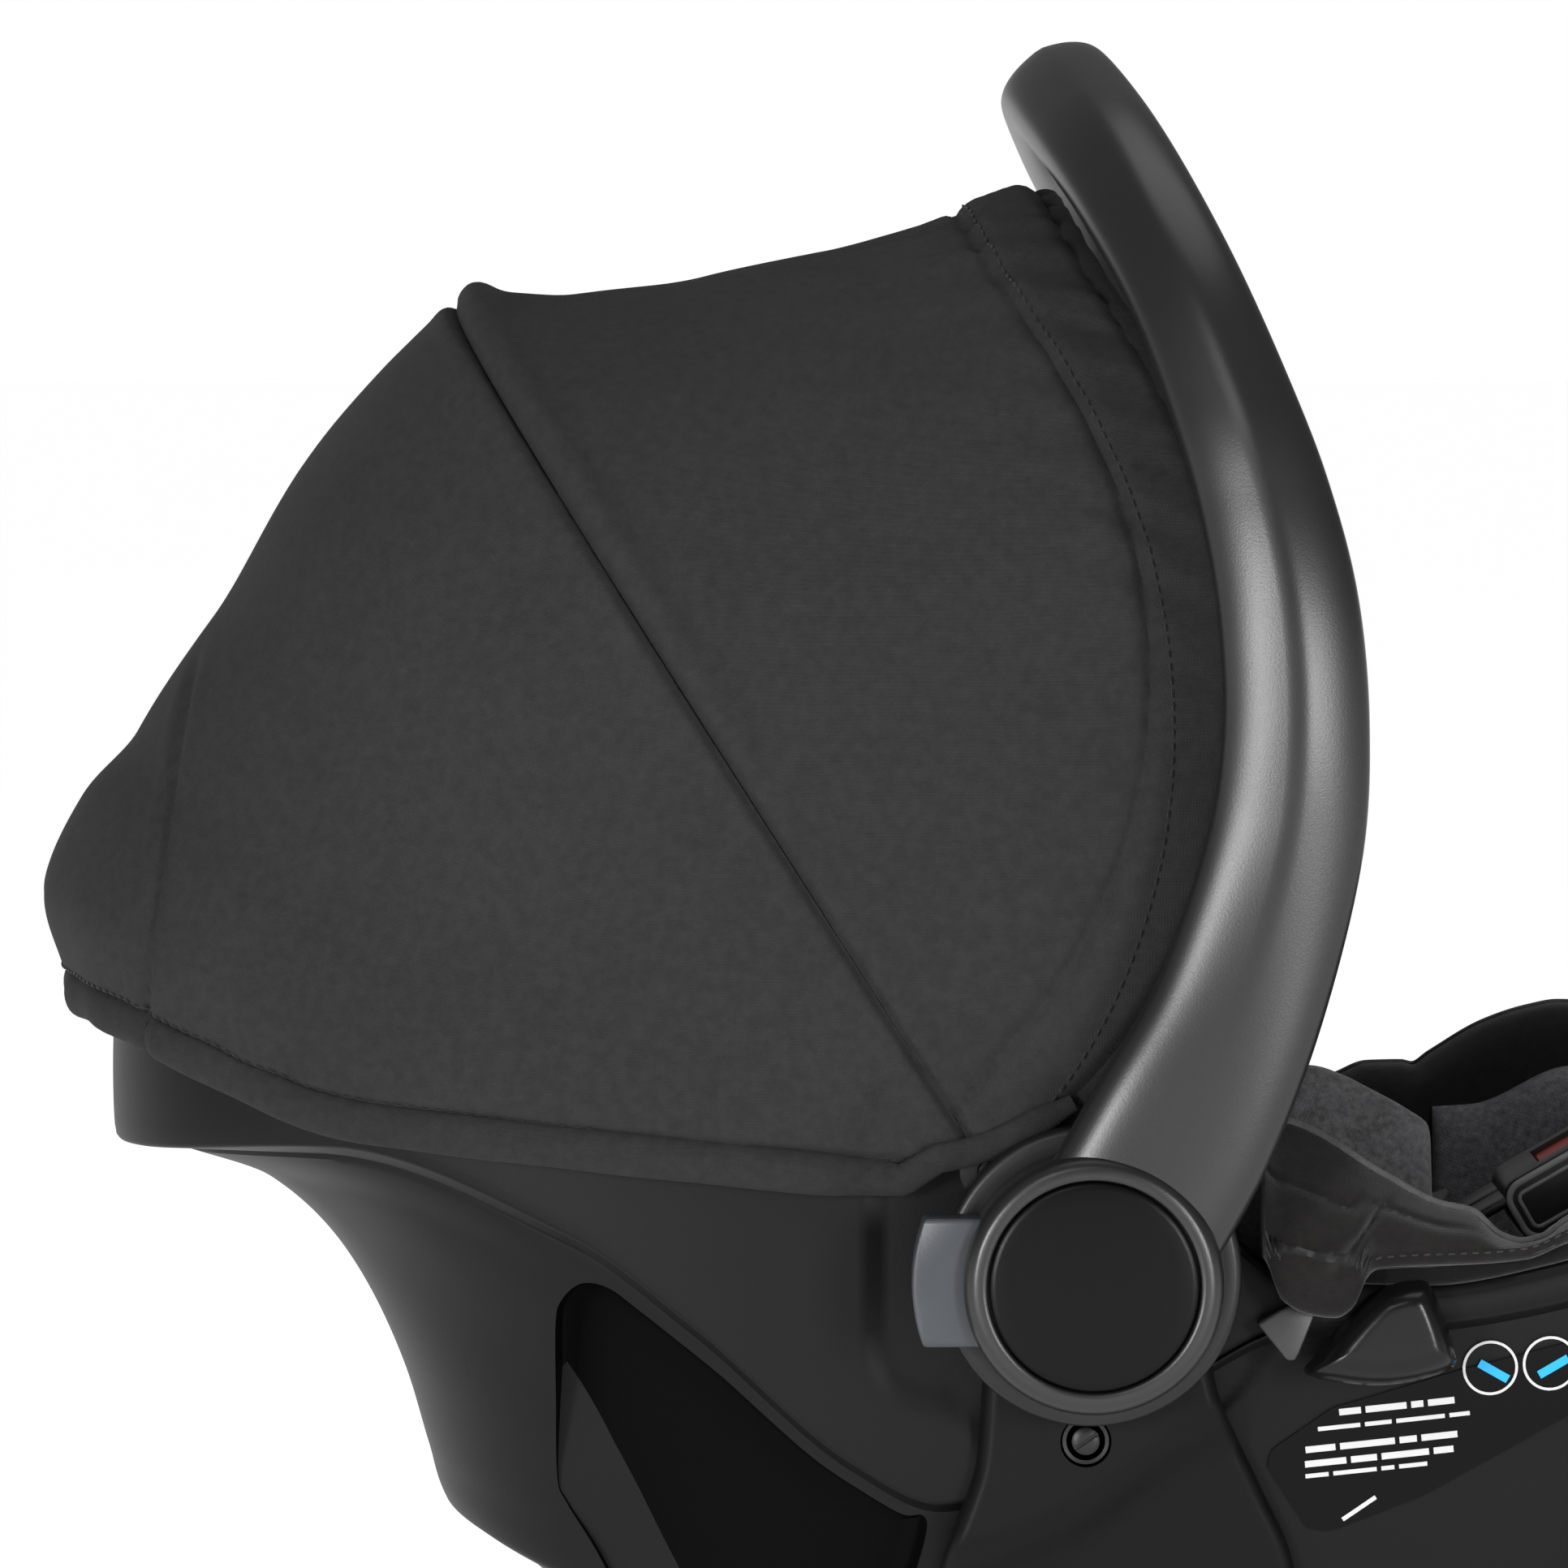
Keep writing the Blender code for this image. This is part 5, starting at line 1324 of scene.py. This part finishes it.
def make_lining(side_name):
    """Grey padded lining of the seat's side wall at the feet, below the rolled edge; its grey is the wings'
    fabric painted about twice as light, painted light against the shade it sits in.
    """
    side = SIDES[side_name]
    x = np.linspace(0.1165, 0.232, 60)[None, :]
    t = np.linspace(0, 1, 26)[:, None]
    tops = {"left": [(0.1165, 0.2405), (0.1298, 0.2415), (0.1611, 0.2545), (0.20, 0.2570), (0.232, 0.2600)],
            "right": [(0.1165, 0.2230), (0.1350, 0.2210), (0.1600, 0.2330), (0.20, 0.2480), (0.232, 0.2560)]}
    high = curve(tops[side_name], x)
    top_y = np.array([abs(shell_rim_y(v)) for v in x[0]])[None, :] - 0.0205
    low_y = top_y - 0.020
    y = lerp(low_y, top_y, t ** 0.7)
    z = lerp(bowl_top(np.broadcast_to(x, y.shape), low_y + 0 * y) + PAD_LIFT + 0.001, high, t)
    xx = np.broadcast_to(x, z.shape)
    s = (x - x[0, 0]) / (x[0, -1] - x[0, 0])
    full = np.sqrt(np.clip((1 - np.abs(2 * s - 1) ** 10) * (1 - np.abs(2 * t - 1) ** 8), 0, 1))
    puff = 0.0012 + 0.0048 * full + 0.0005 * wobble(np.stack([xx, y, z], 2), 40.0, 3.0)
    outer = np.stack([xx, side * (y - puff), z], 2)
    inner = np.stack([xx, side * (y + 0.0030 * full + 0.0006), z - 0.001], 2)
    made = skin(f"lining_{side_name}", outer, inner, LOOK["lining"], 60)
    show(made, "carrier", "grey_fabric")


def shell_rim_y(x):
    """Half width of the rim at a place along its length."""
    reach = RIM_FRONT - RIM_MID if x > RIM_MID else RIM_MID - RIM_BACK
    n = N_FRONT if x > RIM_MID else N_BACK
    return RIM_HALF * max(0.0, 1 - abs((x - RIM_MID) / reach) ** n) ** (1 / n)


def make_soft_goods():
    make_liner()
    make_pad()
    make_insert()
    for side_name in SIDES:
        make_wing(side_name)
        make_head_bolster(side_name)
        make_lining(side_name)
    make_rim_cover()


# ---- harness ----
def ribbon(name, path, width, thick, look):
    """Flat webbing with rounded edges along a path; it stays level across."""
    path = catmull(np.asarray(path, float), 10)
    q = np.linspace(0, 2 * math.pi, 24, endpoint=False)
    loops = []
    for k, p in enumerate(path):
        along = unit(path[min(k + 1, len(path) - 1)] - path[max(k - 1, 0)])
        across = unit(np.cross(along, (0.0, 0.0, 1.0)))
        up = np.cross(across, along)
        loops.append(p + across * (power(np.cos(q), 0.35) * width / 2)[:, None]
                     + up * (power(np.sin(q), 0.6) * thick / 2)[:, None])
    return tube(name, loops, look, True, 50)


def strap(name, path, width, node):
    made = ribbon(name, path, width, 0.0016, LOOK["webbing"])
    show(made, "carrier", "webbing", node)


def make_harness():
    for side_name, side in SIDES.items():
        path = []
        for x in np.linspace(-0.150, 0.110, 12):
            t = smooth(0.02, 0.11, x)
            y = lerp(0.045, 0.022, t)
            path.append((x, side * y, lerp(float(bowl_top(x, 0.045)) + 0.0512, 0.225, t)))
        strap(f"shoulder_webbing_{side_name}", path, 0.036, f"shoulder_strap_{side_name}")
        lap = [(0.050, 0.080, 0.164), (0.065, 0.068, 0.180), (0.082, 0.052, 0.194), (0.102, 0.032, 0.211)]
        strap(f"lap_webbing_{side_name}", [(x, side * y, z) for x, y, z in lap], 0.025,
              f"lap_strap_{side_name}")
        tongue = box_piece(f"tongue_{side_name}", (0.1195, side * 0.0125, 0.224), (0.019, 0.022, 0.0032),
                           LOOK["tongue"], math.radians(30), 0.0012)
        show(tongue, "carrier", "steel", f"buckle_tongue_{side_name}")
        make_chest_clip(side_name, side)
    strap("crotch_webbing", [(0.113, 0, 0.1455), (0.124, 0, 0.172), (0.137, 0, 0.198), (0.149, 0, 0.2135)],
          0.036, "crotch_strap")
    strap("adjuster_webbing", [(x, 0, float(bowl_top(x, 0)) + PAD_LIFT + 0.009) for x in
                               (0.212, 0.226, 0.245, 0.265, 0.285)], 0.025, "adjuster_strap")
    make_latch("buckle", (0.150, 0.2348), (0.050, 0.048, 0.0218), math.radians(30), (0.017, 0.028), "red")
    make_latch("adjuster", (0.198, 0.2090), (0.046, 0.042, 0.0140), math.radians(42), (0.022, 0.024),
               "button")


def make_chest_clip(side_name, side):
    """Half of the chest clip: a rounded plate with a raised border and grip ribs."""
    tilt = 0.28
    centre = np.array([-0.030, side * 0.0265, float(bowl_top(-0.030, 0.045)) + 0.0600])
    up = np.array([math.sin(tilt), 0.0, math.cos(tilt)])
    fwd = np.array([math.cos(tilt), 0.0, -math.sin(tilt)])
    plate = box_piece(f"clip_plate_{side_name}", tuple(centre), (0.034, 0.0515, 0.0070), LOOK["trim"],
                      -tilt, 0.0028, 5)
    hollow = box_piece("hollow", tuple(centre + up * 0.0038), (0.024, 0.036, 0.0022), LOOK["trim"],
                       -tilt, 0.0)
    cut(plate, hollow)
    show(plate, "chest_clip", "trim_plastic", f"chest_clip_{side_name}")
    for k in range(3):
        at = centre + up * 0.0030 + fwd * (k - 1) * 0.006
        rib_piece = box_piece(f"clip_rib_{k}_{side_name}", tuple(at), (0.0016, 0.026, 0.0016),
                              LOOK["trim"], -tilt, 0.0004)
        show(rib_piece, "chest_clip", "trim_plastic")


def round_rect(wide, high, corner, count=96):
    """Closed outline of a rectangle with round corners, as (along, up) points."""
    points = []
    for cx, cz, start in ((1, 1, 0.0), (-1, 1, 0.5), (-1, -1, 1.0), (1, -1, 1.5)):
        for a in np.linspace(0, 0.5, 12):
            q = (start + a) * math.pi
            points.append((cx * (wide / 2 - corner) + corner * math.cos(q),
                           cz * (high / 2 - corner) + corner * math.sin(q)))
    return resample(points, count, True)


def make_latch(name, centre, size, pitch, button, look, corner=0.0070):
    """A moulded housing with two raised borders on each side, and the push button in its top; the borders'
    pale grey is partly painted light, lifted to show through the shade on the housing's sides.
    """
    c, s = math.cos(pitch), math.sin(pitch)
    cx, cz = centre
    length, wide, high = size

    def turned_shape(shape):
        return np.stack([cx + shape[:, 0] * c - shape[:, 1] * s, cz + shape[:, 0] * s + shape[:, 1] * c], 1)

    shape = turned_shape(round_rect(length, high, corner))
    body = prism(f"{name}_housing", shape, 1, -wide / 2, wide / 2, LOOK["button_dark"], 0.0016)
    half = high / 2
    pocket = box_piece("pocket", (cx - s * half, 0, cz + c * half),
                       (button[0] + 0.001, button[1] + 0.001, 0.017), LOOK["button_dark"], pitch, 0)
    cut(body, pocket)
    show(body, "carrier", "trim_plastic", f"{name}_body")
    for level, (inset, radius) in enumerate(((0.0016, 0.0011), (0.0048, 0.0007))):
        line = turned_shape(round_rect(length - 2 * inset, high - 2 * inset, max(0.0015, corner - inset)))
        step = np.roll(line, -1, axis=0) - np.roll(line, 1, axis=0)
        away = np.stack([step[:, 1], -step[:, 0]], 1) / np.linalg.norm(step, axis=1)[:, None]
        for side_name, side in SIDES.items():
            rings = []
            for k, (x, z) in enumerate(line):
                q = np.linspace(0, 2 * math.pi, 12, endpoint=False)
                rings.append(np.stack([x + away[k, 0] * radius * np.cos(q),
                                       side * wide / 2 + radius * np.sin(q) * 0.7,
                                       z + away[k, 1] * radius * np.cos(q)], 1))
            border = tube(f"{name}_border_{level}_{side_name}", rings, LOOK["border"], False, 60, True)
            show(border, "carrier", "trim_plastic")
    lift = half - 0.0033
    push = box_piece(f"{name}_push", (cx - s * lift, 0, cz + c * lift), (button[0], button[1], 0.0036),
                     LOOK[look], pitch, 0.0010)
    slot = {"red": "release_red", "button": "button_plastic"}[look]
    show(push, f"{name}_button", slot, f"{name}_button")


# ---- floor, light and camera ----
def flat_material(name, color, rough):
    made, tree, shader = blank(name, rough, 0.0, 0.2)
    where = place(tree)
    slow = add(tree, "TexNoise", {"Vector": where, "Scale": 0.6, "Detail": 2.0})
    mix = add(tree, "Mix", {0: slow.outputs[0], 6: shade(color, 0.99), 7: shade(color, 1.01)},
              data_type="RGBA")
    tree.links.new(mix.outputs[2], shader.inputs["Base Color"])
    shader.inputs["Emission Color"].default_value = shade(color, 1.0)
    shader.inputs["Emission Strength"].default_value = 0.88
    return made


def make_stage():
    bm = bmesh.new()
    bmesh.ops.create_circle(bm, cap_ends=True, radius=40.0, segments=96)
    mesh = bpy.data.meshes.new("floor")
    bm.to_mesh(mesh)
    bm.free()
    mesh.materials.append(flat_material("floor_look", (0.90, 0.90, 0.90), 0.9))
    floor = bpy.data.objects.new("floor", mesh)
    bpy.context.scene.collection.objects.link(floor)


def area_light(name, location, target, size, power_watts, size_y=None, color=(1, 1, 1)):
    data = bpy.data.lights.new(name, "AREA")
    data.shape = "RECTANGLE"
    data.size, data.size_y = size, size_y or size
    data.energy = power_watts
    data.color = color
    made = bpy.data.objects.new(name, data)
    made.location = location
    made.rotation_euler = (Vector(target) - Vector(location)).to_track_quat("-Z", "Y").to_euler()
    bpy.context.scene.collection.objects.link(made)


def make_world():
    """A studio with a pale horizon and a dim ceiling, so gloss keeps its shape."""
    world = bpy.data.worlds.new("studio")
    world.use_nodes = True
    bpy.context.scene.world = world
    tree = world.node_tree
    split = add(tree, "SeparateXYZ", {0: add(tree, "TexCoord").outputs["Generated"]})
    up = add(tree, "MapRange", {0: split.outputs[2], 1: 0.05, 2: 0.20, 3: 1.0, 4: 0.20},
             interpolation_type="SMOOTHSTEP")
    tone = add(tree, "CombineColor", {0: up.outputs[0], 1: up.outputs[0], 2: up.outputs[0]})
    shader = tree.nodes["Background"]
    tree.links.new(tone.outputs[0], shader.inputs["Color"])
    shader.inputs["Strength"].default_value = 1.0


def make_camera():
    data = bpy.data.cameras.new("camera")
    data.sensor_width = 36.0
    data.lens = 190.0
    data.clip_end = 200.0
    made = bpy.data.objects.new("camera", data)
    target = Vector((-0.1014, -0.222, 0.372))
    around, up, distance = math.radians(0.0), math.radians(3.5), 2.4
    made.location = target + distance * Vector((math.sin(around) * math.cos(up),
                                                -math.cos(around) * math.cos(up), math.sin(up)))
    made.rotation_euler = (target - made.location).to_track_quat("-Z", "Y").to_euler()
    bpy.context.scene.collection.objects.link(made)
    bpy.context.scene.camera = made


# ---- everything ----
make_shell()
for side_name in SIDES:
    make_side_pillar(side_name)
    make_belt_parts(side_name)
    make_hub(side_name)
make_release_lever()
make_handle()
make_canopy()
make_soft_goods()
make_harness()
make_stage()
make_world()
area_light("key", (-0.9, -2.3, 2.3), (0, 0, 0.30), 1.2, 13, 1.0)
area_light("left_strip", (-1.55, -2.55, 0.60), (0, 0, 0.38), 0.40, 52, 0.8)
area_light("right_strip", (1.50, -2.55, 0.60), (0, 0, 0.38), 0.40, 40, 0.8)
area_light("overhead", (0.2, 0.5, 2.8), (0, 0, 0.2), 1.6, 10, 1.6)
make_camera()
bpy.context.scene.view_settings.view_transform = "Standard"
